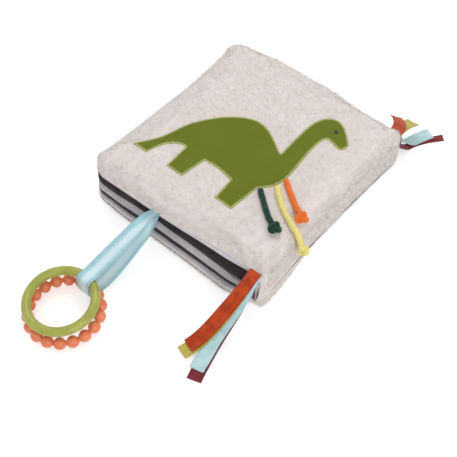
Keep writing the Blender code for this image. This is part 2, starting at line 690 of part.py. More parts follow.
def ring_loop():
    """A satin ribbon sewn in by both ends, round the near side of both rings."""
    root = cover_plan.tail_edge(loop_place) - seat_gap
    half = ribbon_thickness / 2
    upper_root = front_lining_top + half
    lower_root = upper_root - ribbon_pitch
    hinge = pivot("loop_swing", Vector((loop_place, root, upper_root + half)), cover_pivot)
    reach = seat_gap + half
    smooth_edge = abs(loop_fold_x - smooth_ring_x) + loop_width / 2
    smooth_y = smooth_ring_y + sqrt(smooth_ring_radius ** 2 - smooth_edge ** 2)
    bead_edge = abs(loop_fold_x - bead_ring_x) + loop_width / 2
    bead_y = bead_ring_y + sqrt(bead_ring_radius ** 2 - bead_edge ** 2)
    near_top = smooth_ring_z + smooth_ring_drop
    over = near_top + smooth_ring_tube + reach
    under = loop_table_gap + half
    fold = (round_tube(smooth_y, near_top, smooth_ring_tube + reach, pi / 2, pi / 2)
            + round_tube(bead_y, under + bead_radius + reach, bead_radius + reach, pi, pi / 2))
    front = smooth_ring_y + smooth_ring_radius
    outside = bead_ring_y + bead_ring_radius + bead_radius
    upper = [Vector((loop_place + (loop_fold_x - loop_place) * share,
                     root + (front - root) * share, upper_root + (over - upper_root) * drop))
             for share, drop in loop_upper_shares]
    lower = [Vector((loop_fold_x + (loop_place - loop_fold_x) * share + loop_skew * skew,
                     outside + (root - outside) * share, under + (lower_root - under) * rise))
             for share, rise, skew in loop_lower_shares]
    route = smooth_route(upper, 2) + fold + smooth_route(lower, 2)
    keep(ribbon(route, loop_width), "ring_loop_ribbon", hinge, ribbon_blue)
    smooth_ring(hinge)
    bead_ring(hinge)


front_cover()
back_cover()
spine()
leaf(1, leaf_1_bottom, leaf_1_seam, leaf_1_pivot, page_black, page_light)
leaf(2, leaf_2_bottom, leaf_2_seam, leaf_2_pivot, page_light, page_black)
dinosaur()
for cord_colour in string_routes:
    belly_string(cord_colour)
tuft("tail", -1.0, half_length - seam_draw_back, tail_ribbon_shares)
tuft("head", 1.0, half_length, head_ribbon_shares)
ring_loop()
print("book top", round(front_top / mm, 2), "spine fold", spine_fold / mm, "cover fold", cover_fold / mm)
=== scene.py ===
# %% [markdown]
# # A crinkle cloth book
# This is a padded book for a baby. It lies closed on its back cover: plush outside, printed
# cloth pages inside, a felt dinosaur on the front, and ribbons and teether rings at its edges.
# The rigid frame is already made, so this lesson gives every piece its cloth, pile and finish.

import json
from math import cos, hypot, pi, radians, sin, sqrt, tau

import bmesh
import bpy
import numpy as np
from mathutils import Matrix, Vector, noise


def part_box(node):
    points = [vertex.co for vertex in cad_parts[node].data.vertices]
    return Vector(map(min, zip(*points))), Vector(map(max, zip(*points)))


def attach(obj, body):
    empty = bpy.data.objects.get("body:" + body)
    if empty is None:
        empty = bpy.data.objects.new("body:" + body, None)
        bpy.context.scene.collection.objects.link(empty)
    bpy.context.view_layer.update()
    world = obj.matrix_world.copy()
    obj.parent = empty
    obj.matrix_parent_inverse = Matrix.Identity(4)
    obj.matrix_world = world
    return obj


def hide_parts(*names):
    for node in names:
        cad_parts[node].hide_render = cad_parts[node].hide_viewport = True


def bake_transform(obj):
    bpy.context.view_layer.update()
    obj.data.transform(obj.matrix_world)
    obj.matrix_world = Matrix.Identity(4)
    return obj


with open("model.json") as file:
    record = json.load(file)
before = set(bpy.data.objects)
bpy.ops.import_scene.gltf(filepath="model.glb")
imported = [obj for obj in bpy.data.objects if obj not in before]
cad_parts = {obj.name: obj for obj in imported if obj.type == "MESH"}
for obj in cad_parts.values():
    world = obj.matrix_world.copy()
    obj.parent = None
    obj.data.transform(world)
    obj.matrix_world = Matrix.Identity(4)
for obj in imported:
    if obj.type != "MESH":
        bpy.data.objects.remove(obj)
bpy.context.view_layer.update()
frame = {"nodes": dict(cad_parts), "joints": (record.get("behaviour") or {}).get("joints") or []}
mm = 0.001
nodes = frame["nodes"]
pins, spins = ({joint["name"]: Vector(joint[key]) for joint in frame["joints"]}
               for key in ("pos_m", "axis"))

# %% [markdown]
# ## Camera
# The photograph is taken from above the tail edge, turned towards the spine. A camera could be
# placed by eye, but four corners of the covers and the rings give its place more surely: it
# looks down at 53 degrees from about 0.6 m.

# %% Camera
photo_side = 457
focal_pixels = 815.7
camera_azimuth, camera_elevation = radians(40.51), radians(53.28)
camera_distance = 620 * mm
camera_target = Vector((19.5 * mm, -47.3 * mm, 0.0))

camera_data = bpy.data.cameras.new("camera")
camera_data.sensor_width = 36.0
camera_data.lens = camera_data.sensor_width * focal_pixels / photo_side
camera = bpy.data.objects.new("camera", camera_data)
bpy.context.scene.collection.objects.link(camera)
away = Vector((sin(camera_azimuth) * cos(camera_elevation),
               -cos(camera_azimuth) * cos(camera_elevation), sin(camera_elevation)))
camera.location = camera_target + away * camera_distance
camera.rotation_mode = "QUATERNION"
camera.rotation_quaternion = (-away).to_track_quat("-Z", "Y")
bpy.context.scene.camera = camera
print("lens", round(camera_data.lens, 1), "mm")

# %% [markdown]
# ## Numbers and colours in a material
# A material is a graph of nodes. Wiring dozens of them by hand is slow to read, so a small
# class wraps a socket and lets Python's own operators add the Math nodes. Colours are written
# as they look on screen and turned into the linear values that the renderer mixes.

# %% Tones and looks


def paint(red, green, blue):
    """A colour as it looks on screen, 0 to 255, as a linear colour."""
    shares = [value / 255 for value in (red, green, blue)]
    linear = [s / 12.92 if s <= 0.04045 else ((s + 0.055) / 1.055) ** 2.4 for s in shares]
    return (*linear, 1.0)


def node_maths(operation, swapped=False):
    """A Python operator that adds a Math node."""
    def apply(self, other):
        return self.look.math(operation, *((other, self) if swapped else (self, other)))
    return apply


class Tone:
    """A value that changes over a surface."""
    __add__, __radd__ = node_maths("ADD"), node_maths("ADD", True)
    __sub__, __rsub__ = node_maths("SUBTRACT"), node_maths("SUBTRACT", True)
    __mul__, __rmul__ = node_maths("MULTIPLY"), node_maths("MULTIPLY", True)
    __gt__ = node_maths("GREATER_THAN")

    def __init__(self, look, socket):
        self.look, self.socket = look, socket


class Look:
    """A material round one Principled shader."""

    def __init__(self, name, **constants):
        self.material = bpy.data.materials.new(name)
        self.material.use_nodes = True
        self.nodes, self.links = self.material.node_tree.nodes, self.material.node_tree.links
        self.shader = self.nodes["Principled BSDF"]
        for socket, value in constants.items():
            self.shader.inputs[socket.replace("_", " ")].default_value = value

    def join(self, value, socket):
        """Link a tone to a socket, or set the socket to a plain value."""
        if isinstance(value, Tone):
            self.links.new(value.socket, socket)
        else:
            socket.default_value = value

    def node(self, kind, settings=None, inputs=None, output=0):
        """Any node: its settings first, then its sockets."""
        made = self.nodes.new(kind)
        for key, value in (settings or {}).items():
            setattr(made, key, value)
        for socket, value in (inputs or {}).items():
            self.join(value, made.inputs[socket])
        return Tone(self, made.outputs[output])

    def math(self, operation, *values):
        return self.node("ShaderNodeMath", {"operation": operation}, dict(enumerate(values)))

    def place(self):
        """The point on the piece, in metres."""
        return self.node("ShaderNodeTexCoord", output=3)

    def axis(self, index):
        return self.node("ShaderNodeSeparateXYZ", None, {0: self.place()}, index)

    def cloth(self, index):
        """Across (0) or along (1) the piece's own UV map."""
        return self.node("ShaderNodeSeparateXYZ", None, {0: self.node("ShaderNodeUVMap")}, index)

    def grain(self, size, detail, stretch=(1.0, 1.0, 1.0)):
        """Noise whose lumps are about that size."""
        where = self.node("ShaderNodeMapping", None, {"Vector": self.place(), "Scale": stretch})
        return self.node("ShaderNodeTexNoise", None, {"Vector": where, "Scale": 1.0 / size,
                                                      "Detail": detail})

    def ramp(self, value, low, high):
        """A value's stretch from low to high, as 0 to 1."""
        return self.node("ShaderNodeMapRange", {"interpolation_type": "SMOOTHSTEP"},
                         {"Value": value, "From Min": low, "From Max": high})

    def mix(self, share, first, second):
        return self.node("ShaderNodeMix", {"data_type": "RGBA"}, {0: share, 6: first, 7: second}, 2)

    def drift(self, noise_tone, first, second):
        """A colour that drifts between two with a noise."""
        return self.mix(self.ramp(noise_tone, 0.3, 0.7), first, second)

    def bump(self, height, depth, strength):
        return self.node("ShaderNodeBump", None, {"Height": height, "Distance": depth,
                                                  "Strength": strength})

    def feed(self, **tones):
        """Link tones to the shader's sockets."""
        for socket, value in tones.items():
            self.join(value, self.shader.inputs[socket.replace("_", " ")])
        return self.material


print("a screen grey of 128 is", round(paint(128, 128, 128)[0], 3), "in linear light")

# %% [markdown]
# ## Floor and light
# The book lies on a white table in soft, even light, so its shadow is faint. The table glows a
# little, but only for rays that end at the eye, so it whitens the picture and not the book. A
# sky of plain light alone would look flat, and one wide lamp adds the gentle shade at the edges.

# %% Floor and light
floor_bm = bmesh.new()
bmesh.ops.create_circle(floor_bm, segments=96, radius=9.0, cap_ends=True)
floor_mesh = bpy.data.meshes.new("table")
floor_bm.to_mesh(floor_mesh)
floor_bm.free()
table = bpy.data.objects.new("table", floor_mesh)
bpy.context.scene.collection.objects.link(table)
table.location.z = -0.2 * mm


def for_the_eye(nodes, links):
    """1 for a ray from the camera, or through gloss or glass, and 0 for the light on the book."""
    rays = nodes.new("ShaderNodeLightPath").outputs
    total = rays["Is Camera Ray"]
    for kind in ("Is Glossy Ray", "Is Transmission Ray"):
        larger = nodes.new("ShaderNodeMath")
        larger.operation = "MAXIMUM"
        links.new(total, larger.inputs[0])
        links.new(rays[kind], larger.inputs[1])
        total = larger.outputs[0]
    return total


white_table = Look("white_table", Base_Color=(0.86, 0.86, 0.86, 1.0), Roughness=0.9)
seen = Tone(white_table, for_the_eye(white_table.nodes, white_table.links))
glow = white_table.node("ShaderNodeEmission", None, {"Color": (1.0, 1.0, 1.0, 1.0),
                                                     "Strength": seen * 0.44})
both = white_table.node("ShaderNodeAddShader")
white_table.links.new(white_table.shader.outputs[0], both.socket.node.inputs[0])
white_table.links.new(glow.socket, both.socket.node.inputs[1])
white_table.links.new(both.socket, white_table.nodes["Material Output"].inputs[0])
floor_mesh.materials.append(white_table.material)

sky_light, seen_sky = 0.68, 1.0
sky = bpy.data.worlds.new("studio")
bpy.context.scene.world = sky
sky.use_nodes = True
sky_nodes, sky_links = sky.node_tree.nodes, sky.node_tree.links
strength = sky_nodes.new("ShaderNodeMapRange")
strength.inputs["To Min"].default_value = sky_light
strength.inputs["To Max"].default_value = seen_sky
sky_links.new(for_the_eye(sky_nodes, sky_links), strength.inputs["Value"])
sky_links.new(strength.outputs[0], sky_nodes["Background"].inputs["Strength"])
sky_nodes["Background"].inputs["Color"].default_value = (1.0, 1.0, 1.0, 1.0)


def softbox(name, place, side, power):
    """A square lamp that faces the middle of the book."""
    lamp = bpy.data.lights.new(name, "AREA")
    lamp.shape, lamp.size, lamp.energy = "SQUARE", side, power
    holder = bpy.data.objects.new(name, lamp)
    bpy.context.scene.collection.objects.link(holder)
    holder.location = place
    holder.rotation_mode = "QUATERNION"
    holder.rotation_quaternion = (-Vector(place)).to_track_quat("-Z", "Y")


softbox("key_lamp", (-0.45, 0.55, 1.25), 0.8, 4.5)
softbox("fill_lamp", (1.2, -0.5, 0.7), 0.9, 5.5)
bpy.context.scene.view_settings.view_transform = "Standard"
print("sky", sky_light, "and two lamps")

# %% [markdown]
# ## Pads
# A cover or a leaf is a sewn pad: a rounded rectangle whose sides pull in a little between the
# corners, with a rounded edge and a crowned middle. A subdivided box would need its corners
# rounded later. Here a flat grid is laid out so that its lines crowd towards the edge, its
# corners are eased into arcs, and every point is lifted by its distance from the edge. Then
# the front cover is fitted to the photograph: its tail edge is drawn back near the spine, and
# its fore and head sides bow out. The stack below it slides out at the tail.

# %% Pads
half_width, half_length = 81.0 * mm, 89.5 * mm
spine_face = 74.5 * mm
front_low, front_high = (corner.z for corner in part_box("front_plush"))
back_low, back_high = (corner.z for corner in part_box("back_plush"))
front_edge, back_edge = 9.0 * mm, 8.0 * mm
crown_height, crown_reach = 1.4 * mm, 35.0 * mm
draw_back, draw_back_full, draw_back_reach = 8.0 * mm, 55.0 * mm, 45.0 * mm
draw_back_rise, lean_out = 4.7 * mm, 0.2
far_swell, fore_swell, corner_swell, head_swell = 1.3 * mm, 4.6 * mm, 3.0 * mm, 8.2 * mm
side_zone, rim_share, rim_rise = 20 * mm, 0.35, 4 * mm
lining_draw_share = 0.55
loop_place, tuft_place, tuft_run = -15.5 * mm, 74.0 * mm, 60.0 * mm
cover_plan = (-half_width, half_width, half_length, 14.0 * mm, 6.0 * mm, 1.8 * mm)


def limit(value, low=0.0, high=1.0):
    return min(max(value, low), high)


def smooth_share(value, low, high):
    """0 up to low, 1 from high on, and a smooth rise between them."""
    share = limit((value - low) / (high - low))
    return share * share * (3.0 - 2.0 * share)


def drawn_share(z):
    """How much of the tail's drawing back a height takes part in."""
    return limit((z - back_high) / (front_low + draw_back_rise - back_high))


def edge_line(share, half, edge):
    """How far inside the edge a grid line lies. share is 0 in the middle and 1 at the edge."""
    crowded = 0.22
    if share > 1.0 - crowded:
        return edge * (1.0 - cos(0.5 * pi * (1.0 - share) / crowded))
    return edge + (half - edge) * (1.0 - crowded - share) / (1.0 - crowded)


def add_pad(bm, plan, height, edge, columns, rows):
    """Add one face of a pad to a mesh. plan is (fore x, spine x, half length, fore corner,
    spine corner, draw-in), and height gives z from the distance inside the edge."""
    fore, spine, half, fore_corner, spine_corner, draw_in = plan
    middle, half_x = (fore + spine) / 2, (spine - fore) / 2
    made = bmesh.ops.create_grid(bm, x_segments=columns, y_segments=rows, size=1.0)["verts"]
    for vert in made:
        side_x, side_y = (1.0 if vert.co.x > 0 else -1.0), (1.0 if vert.co.y > 0 else -1.0)
        in_x = edge_line(abs(vert.co.x), half_x, edge)
        in_y = edge_line(abs(vert.co.y), half, edge)
        inset = min(in_x, in_y)
        corner = spine_corner if side_x > 0 else fore_corner
        if in_x < corner and in_y < corner:
            across, along = corner - in_x, corner - in_y
            far = max(across, along)
            inset = corner - far
            ease = far / hypot(across, along)
            in_x, in_y = corner - across * ease, corner - along * ease
        x, y = half_x - in_x, half - in_y
        x_in = draw_in * x / half_x * (1.0 - (y / half) ** 2)
        y_in = draw_in * y / half * (1.0 - (x / half_x) ** 2)
        x, y = middle + side_x * (x - x_in), side_y * (y - y_in)
        vert.co = (x, y, height(inset))
    return made


def rounded(base, rise, edge, crown=0.0, fullness=2.0):
    """A height that rounds up from the edge at base, and crowns in the middle."""
    def height(inset):
        near = 1.0 - min(inset / edge, 1.0)
        far = 1.0 - min(inset / crown_reach, 1.0)
        return (base + rise * (1.0 - near ** fullness) ** (1.0 / fullness)
                + crown * (1.0 - far ** 2))
    return height


def far_fullness(x, y, z):
    """How far the skin stands out at its fore side and at its head side, where its padding
    is full. The sides bow out between their corners, and are fullest above the seam."""
    full = (smooth_share(z, back_high, front_low)
            * (rim_share + (1.0 - rim_share) * smooth_share(z, front_low, front_low + rim_rise)))
    fore = far_swell + (smooth_share(half_length + y, 2 * mm, 18 * mm)
                        * (fore_swell + corner_swell * smooth_share(y, 20 * mm, 80 * mm)))
    head = far_swell + (head_swell * smooth_share(x, -80 * mm, -40 * mm)
                        * smooth_share(-x, -58 * mm, -5 * mm))
    return (fore * full * smooth_share(-x, half_width - side_zone, half_width),
            head * full * smooth_share(y, half_length - side_zone, half_length))


def pulled_back(bm, lining=False):
    """Draw the tail end of the front cover, its lining or the spine back towards the head, and
    fill out the skin's far sides."""
    for vert in bm.verts:
        x, y, z = vert.co
        if not lining:
            fore, head = far_fullness(x, y, z)
            vert.co += Vector((-fore, head, 0.0))
        share = (drawn_share(z) * smooth_share(x, loop_place, draw_back_full)
                 * smooth_share(-y, half_length - draw_back_reach, half_length - front_edge))
        if lining:
            share *= lining_draw_share + (1.0 - lining_draw_share) * smooth_share(
                x, tuft_place - tuft_run / 2, tuft_place)
        vert.co.y += draw_back * share
    return bm


def leaned(place):
    """A point's place once the stack has slid: the lower, the further out at the tail."""
    share = (smooth_share(-place.y, half_length - 32 * mm, half_length - 3 * mm)
             * smooth_share(spine_face - place.x, 0.0, 24 * mm)
             * (0.5 + 0.5 * smooth_share(place.x, -80 * mm, -40 * mm)))
    return place - Vector((0.0, lean_out * max(front_low - place.z, 0.0) * share, 0.0))


def close_holes(bm):
    """Close open borders and turn every face outwards."""
    open_edges = [edge for edge in bm.edges if edge.is_boundary]
    if open_edges:
        bmesh.ops.holes_fill(bm, edges=open_edges, sides=0)
    bmesh.ops.recalc_face_normals(bm, faces=bm.faces)


def draw_out(bm, edges):
    """Extrude edges. Gives the new points and the new open edges."""
    made = bmesh.ops.extrude_edge_only(bm, edges=edges)["geom"]
    return ([item for item in made if isinstance(item, bmesh.types.BMVert)],
            [item for item in made if isinstance(item, bmesh.types.BMEdge) and item.is_boundary])


def slice_off(bm, point, normal):
    """Take off what lies on the normal's side of a plane, and close the cut."""
    bmesh.ops.bisect_plane(bm, geom=bm.verts[:] + bm.edges[:] + bm.faces[:], plane_co=point,
                           plane_no=normal, clear_outer=True)
    close_holes(bm)
    return bm


def ruffle(bm, amount, size, where):
    """Push points along their normals by soft noise, as stuffing does under a cover."""
    bm.normal_update()
    moves = [vert.normal * amount * where(vert.co) * noise.noise(vert.co / size)
             for vert in bm.verts]
    for vert, move in zip(bm.verts, moves):
        vert.co += move


def piece(name, bm, body, material, stands_for, sharp=50.0):
    """Turn a mesh into a named piece that rides on a body."""
    mesh = bpy.data.meshes.new(name)
    bm.to_mesh(mesh)
    bm.free()
    mesh.shade_smooth()
    mesh.set_sharp_from_angle(angle=radians(sharp))
    mesh.materials.append(material)
    made = bpy.data.objects.new(name, mesh)
    bpy.context.scene.collection.objects.link(made)
    if body:
        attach(made, body)
    if stands_for:
        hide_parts(*stands_for)
    print(name, len(mesh.polygons), "faces")
    return made


print("front cover from", round(front_low / mm, 1), "to", round(front_high / mm, 1), "mm")

# %% [markdown]
# ## Stuffing a pad
# A drawn shape looks turned on a lathe, because real cloth is a little larger than the pad that
# it covers and settles in soft folds. So the pad is handed to the cloth solver: air pressure
# fills it, the cloth is allowed to grow by a few percent, and its seam is held. Afterwards each
# point is kept near where it began and between the piece's own top and bottom.

# %% Cloth


def stuffed(bm, held, pressure, grow, cap, low, high):
    """Let a closed pad fill as cloth does. held says which points stay, and cap how far any
    other may move."""
    scene, frames = bpy.context.scene, 20
    mesh = bpy.data.meshes.new("pad_to_fill")
    bm.to_mesh(mesh)
    pad = bpy.data.objects.new("pad_to_fill", mesh)
    scene.collection.objects.link(pad)
    group = pad.vertex_groups.new(name="held")
    group.add([vert.index for vert in bm.verts if held(vert.co)], 1.0, "REPLACE")
    cloth = pad.modifiers.new("cloth", "CLOTH")
    cloth.settings.quality = 5
    cloth.settings.mass = 0.2
    cloth.settings.tension_stiffness = cloth.settings.compression_stiffness = 12.0
    cloth.settings.bending_stiffness = 0.15
    cloth.settings.use_pressure = True
    cloth.settings.uniform_pressure_force = pressure
    cloth.settings.vertex_group_mass = "held"
    cloth.settings.shrink_min = -grow
    cloth.settings.effector_weights.gravity = 0.0
    cloth.point_cache.frame_start, cloth.point_cache.frame_end = 1, frames
    for number in range(1, frames + 1):
        scene.frame_set(number)
    filled = pad.evaluated_get(bpy.context.evaluated_depsgraph_get()).to_mesh()
    moved = 0.0
    for vert, target in zip(bm.verts, filled.vertices):
        shift = target.co - vert.co
        if shift.length > cap:
            shift *= cap / shift.length
        moved = max(moved, shift.length)
        vert.co += shift
        vert.co.z = limit(vert.co.z, low, high)
    pad.to_mesh_clear()
    bpy.data.objects.remove(pad)
    bpy.data.meshes.remove(mesh)
    scene.frame_set(1)
    bm.normal_update()
    print("cloth moved by up to", round(moved / mm, 2), "mm")
    return bm


def finer(bm):
    """Halve every face and ease the new points."""
    bmesh.ops.subdivide_edges(bm, edges=bm.edges[:], cuts=1, use_grid_fill=True, smooth=0.6)
    return bm


print("full run")

# %% [markdown]
# ## Plush
# The covers are cut from short plush, whose pile stands up from a knitted backing. A bump
# texture alone leaves the outline hard, and real hair would be lost in the export. So the pile
# is tens of thousands of tiny flat fibres, too short to see one by one, scattered over the padded
# surface and combed one way, with the backing below in the same colour. None grows under
# the dinosaur, on the seams, or into the table.

# %% Plush look
plush = Look("cream_plush", Roughness=0.9, Sheen_Weight=0.35, Sheen_Roughness=0.5,
             Specular_IOR_Level=0.2, Subsurface_Weight=0.0)
patches = plush.grain(34 * mm, 2.0)
clumps = plush.grain(5 * mm, 2.0, (1.0, 0.5, 1.0))
warm = plush.drift(patches, paint(236, 227, 223), paint(240, 233, 229))
cream = plush.mix(plush.ramp(clumps, 0.25, 0.75), paint(233, 223, 218), warm)
plush_material = plush.feed(Base_Color=cream, Normal=plush.bump(clumps, 0.3 * mm, 0.15))

# %% Dinosaur outline
felt_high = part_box("dinosaur_applique")[1].z


def border_of(node, height):
    """The outline of a flat CAD piece at a height, as points in order."""
    bm = bmesh.new()
    bm.from_mesh(nodes[node].data)
    bmesh.ops.remove_doubles(bm, verts=bm.verts, dist=0.01 * mm)
    rim = {}
    for edge in bm.edges:
        flat = all(abs(vert.co.z - height) < 0.05 * mm for vert in edge.verts)
        steep = [face for face in edge.link_faces if abs(face.normal.z) < 0.5]
        if flat and len(steep) == 1:
            first, second = edge.verts
            rim.setdefault(first.index, []).append(second.index)
            rim.setdefault(second.index, []).append(first.index)
    bm.verts.ensure_lookup_table()
    start = min(rim)
    order = [start, rim[start][0]]
    while len(order) < len(rim):
        order.append(next(i for i in rim[order[-1]] if i != order[-2]))
    outline = [Vector(bm.verts[i].co.xy) for i in order]
    bm.free()
    return outline


def between(a, b, c, d, t):
    """The point a share t of the way from b to c, on a smooth curve through four points."""
    return 0.5 * (2 * b + (c - a) * t + (2 * a - 5 * b + 4 * c - d) * t ** 2
                  + (3 * b - a - 3 * c + d) * t ** 3)


def soften(outline, step):
    """Points about a step apart along a smooth line through an outline, its corners kept."""
    count, corner = len(outline), radians(35.0)
    turns = []
    for i in range(count):
        before, after = outline[i] - outline[i - 1], outline[(i + 1) % count] - outline[i]
        turns.append(before.angle(after))
    smooth = []
    for i in range(count):
        b, c = outline[i], outline[(i + 1) % count]
        a = outline[i - 1] if turns[i] < corner else b * 2 - c
        d = outline[(i + 2) % count] if turns[(i + 1) % count] < corner else c * 2 - b
        parts = max(1, round((c - b).length / step))
        smooth += [between(a, b, c, d, k / parts) for k in range(parts)]
    return smooth


dinosaur_edge = soften(border_of("dinosaur_applique", felt_high), 1.5 * mm)
area_sign = sum(p.x * q.y - q.x * p.y for p, q in
                zip(dinosaur_edge, dinosaur_edge[1:] + dinosaur_edge[:1]))
if area_sign < 0:
    dinosaur_edge.reverse()
edge_array = np.array([point[:] for point in dinosaur_edge])


def under_felt(places):
    """Whether points on top of the cover lie inside the dinosaur's outline."""
    inside = np.zeros(len(places), bool)
    for p, q in zip(edge_array, np.roll(edge_array, -1, axis=0)):
        if abs(q[1] - p[1]) < 1e-9:
            continue
        spans = (p[1] > places[:, 1]) != (q[1] > places[:, 1])
        cross = p[0] + (places[:, 1] - p[1]) / (q[1] - p[1]) * (q[0] - p[0])
        inside ^= spans & (places[:, 0] < cross)
    return inside & (places[:, 2] > front_high - 6 * mm)


print("outline of", len(dinosaur_edge), "points")

# %% Pile
comb = np.array(Vector((-0.35, -1.0, 0.0)).normalized())
hem_clear, pile_length, pile_width = 0.7 * mm, 2.1 * mm, 0.08 * mm


def pile(name, base, body, count, seed, bare):
    """Scatter fibres over a piece's surface, all turned into one mesh. bare gives True where
    a face's middle and direction say that it carries none. The fibres borrow the skin's own
    normals, so together they shade as one soft surface."""
    fibre = bmesh.new()
    bmesh.ops.create_circle(fibre, cap_ends=True, segments=3, radius=2.0 / 3.0,
                            matrix=Matrix.Translation((0.0, 1.0 / 3.0, 0.0)))
    shape = np.array([v.co[:] for v in fibre.verts])
    corners = np.array([[v.index for v in f.verts] for f in fibre.faces])
    fibre.free()

    mesh = base.data
    mesh.calc_loop_triangles()
    points = np.zeros(len(mesh.vertices) * 3)
    mesh.vertices.foreach_get("co", points)
    points = points.reshape(-1, 3)
    triangles = np.zeros(len(mesh.loop_triangles) * 3, int)
    mesh.loop_triangles.foreach_get("vertices", triangles)
    a, b, c = (points[triangles.reshape(-1, 3)[:, i]] for i in range(3))
    crossed = np.cross(b - a, c - a)
    area = np.linalg.norm(crossed, axis=1)
    facing = crossed / np.maximum(area, 1e-20)[:, None]
    area = np.where(bare((a + b + c) / 3, facing), 0.0, area)
    draw = np.random.default_rng(seed)
    chosen = draw.choice(len(area), count, p=area / area.sum())
    s, t = draw.random((2, count, 1))
    s, t = np.where(s + t > 1, 1 - s, s), np.where(s + t > 1, 1 - t, t)
    roots = a[chosen] + s * (b[chosen] - a[chosen]) + t * (c[chosen] - a[chosen])
    up = facing[chosen]
    keep = ~under_felt(roots) & (roots[:, 2] > 0.4 * mm)
    roots, up = roots[keep], up[keep]
    count = len(roots)
    lean = comb - up * (up @ comb)[:, None]
    way = up + lean * 0.7 + draw.normal(0.0, 0.34, (count, 3))
    way /= np.linalg.norm(way, axis=1)[:, None]
    side = np.cross(way, up + draw.normal(0.0, 0.25, (count, 3)))
    side /= np.linalg.norm(side, axis=1)[:, None]
    tall = pile_length * (0.6 + 0.6 * draw.random((count, 1)))
    wide = pile_width * (0.75 + 0.5 * draw.random((count, 1)))
    roots = roots - up * 0.2 * mm
    co = (roots[:, None] + (side * wide)[:, None] * shape[None, :, :1] * 1.7
          + (way * tall)[:, None] * shape[None, :, 1:2])
    co[:, :, 2] = np.maximum(co[:, :, 2], 0.02 * mm)
    faces = corners[None] + (np.arange(count) * len(shape))[:, None, None]
    made = bpy.data.meshes.new(name)
    made.from_pydata(co.reshape(-1, 3), [], faces.reshape(-1, 3))
    made.shade_smooth()
    soft = up * 1.0 + way * 0.25
    soft /= np.linalg.norm(soft, axis=1)[:, None]
    made.normals_split_custom_set_from_vertices(np.repeat(soft, len(shape), axis=0).tolist())
    made.materials.append(plush_material)
    fur = bpy.data.objects.new(name, made)
    bpy.context.scene.collection.objects.link(fur)
    if body:
        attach(fur, body)
    print(name, count, "fibres")
    return fur


print("the pile leans towards", [round(value, 2) for value in comb])

# %% [markdown]
# ## Covers and spine
# One skin wraps the whole book: over the front, round the spine and under the back. Making each
# part alone would leave steps at the folds, so the skin is shaped in one piece and then cut at the
# folds. The two corner pieces between the spine and a cover are kept apart from the bodies and are
# not bent; the rest is rigid.

# %% Front cover
lumps = 0.3 * mm
pressed_out = 1.6 * mm


def front_dome(bm, columns, rows):
    return add_pad(bm, cover_plan, rounded(front_low, front_high - front_low - crown_height,
                                           front_edge, crown_height), front_edge, columns, rows)


def back_dome(bm, columns, rows):
    """The back cover's skin. The book's weight presses its free sides out a little."""
    made = add_pad(bm, cover_plan, rounded(back_high, back_low - back_high, back_edge),
                   back_edge, columns, rows)
    for vert in made:
        squeezed = smooth_share(spine_face - vert.co.x, 0.0, 20 * mm)
        vert.co.y += (pressed_out * squeezed
                      * smooth_share(vert.co.y, half_length - 12 * mm, half_length))
        vert.co.x -= pressed_out * smooth_share(-vert.co.x, half_width - 12 * mm, half_width)
        vert.co = leaned(vert.co)
    return made


def on_seam(place):
    """Points by the seam, and the strip towards the spine that the fold piece continues."""
    return place.z < front_low + 0.6 * mm or place.x > spine_face - 3.0 * mm


front = bmesh.new()
front_dome(front, 60, 66)
stuffed(front, on_seam, 2.5, 0.012, 1.6 * mm, front_low, front_high + 0.8 * mm)
finer(front)
ruffle(front, lumps, 14 * mm, lambda place: limit((spine_face - place.x) / (8 * mm))
       * limit((place.z - front_low) / (3 * mm)))
close_holes(front)
pulled_back(front)
slice_off(front, (spine_face, 0.0, 0.0), (1.0, 0.0, 0.0))
front_cover = piece("front_cover_plush", front, "front_cover", plush_material,
                    ("front_plush", "front_wadding", "front_crinkle_film"))
pile("front_cover_pile", front_cover, "front_cover", 60000, 1,
     lambda place, facing: (facing[:, 2] < -0.9) | (facing[:, 0] > 0.999)
     | (place[:, 2] < front_low + hem_clear))

# %% Back cover
back = bmesh.new()
back_dome(back, 110, 122)
close_holes(back)
slice_off(back, (spine_face, 0.0, 0.0), (1.0, 0.0, 0.0))
back_cover = piece("back_cover_plush", back, "back_cover", plush_material,
                   ("back_plush", "back_wadding", "back_crinkle_film"))
pile("back_cover_pile", back_cover, "back_cover", 17000, 2,
     lambda place, facing: (facing[:, 2] > 0.9) | (facing[:, 0] > 0.999)
     | (place[:, 2] < 1.0 * mm) | (place[:, 2] > back_high - hem_clear))

# %% Spine and folds
lower_hem, upper_hem = (corner.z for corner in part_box("spine_lining"))
fold_reach, foot_swell, half_way = 2.5 * mm, 4.5 * mm, 20 * mm


def spine_block(low, high):
    """The spine side of the whole skin, between two heights. Towards the tail its foot
    swells out under the book's weight, below a crease."""
    bm = bmesh.new()
    front_dome(bm, 120, 132)
    rim = [edge for edge in bm.edges if edge.is_boundary]
    band_steps = 12
    for _ in range(band_steps):
        added, rim = draw_out(bm, rim)
        bmesh.ops.translate(bm, verts=added,
                            vec=(0.0, 0.0, (back_high - front_low) / band_steps))
    back_dome(bm, 120, 132)
    bmesh.ops.remove_doubles(bm, verts=bm.verts, dist=0.02 * mm)
    ruffle(bm, lumps, 14 * mm, lambda place: limit((place.x - spine_face) / (8 * mm))
           if place.z > 8 * mm else 0.0)
    pulled_back(bm)
    for vert in bm.verts:
        vert.co.x += (foot_swell * smooth_share(-vert.co.y, 15 * mm, 75 * mm)
                      * smooth_share(vert.co.x, spine_face, spine_face + 4 * mm)
                      * (1.0 - smooth_share(vert.co.z, lower_hem - 2.2 * mm, lower_hem - 0.5 * mm)))
    slice_off(bm, (spine_face, 0.0, 0.0), (-1.0, 0.0, 0.0))
    slice_off(bm, (0.0, 0.0, low), (0.0, 0.0, -1.0))
    slice_off(bm, (0.0, 0.0, high), (0.0, 0.0, 1.0))
    return bm


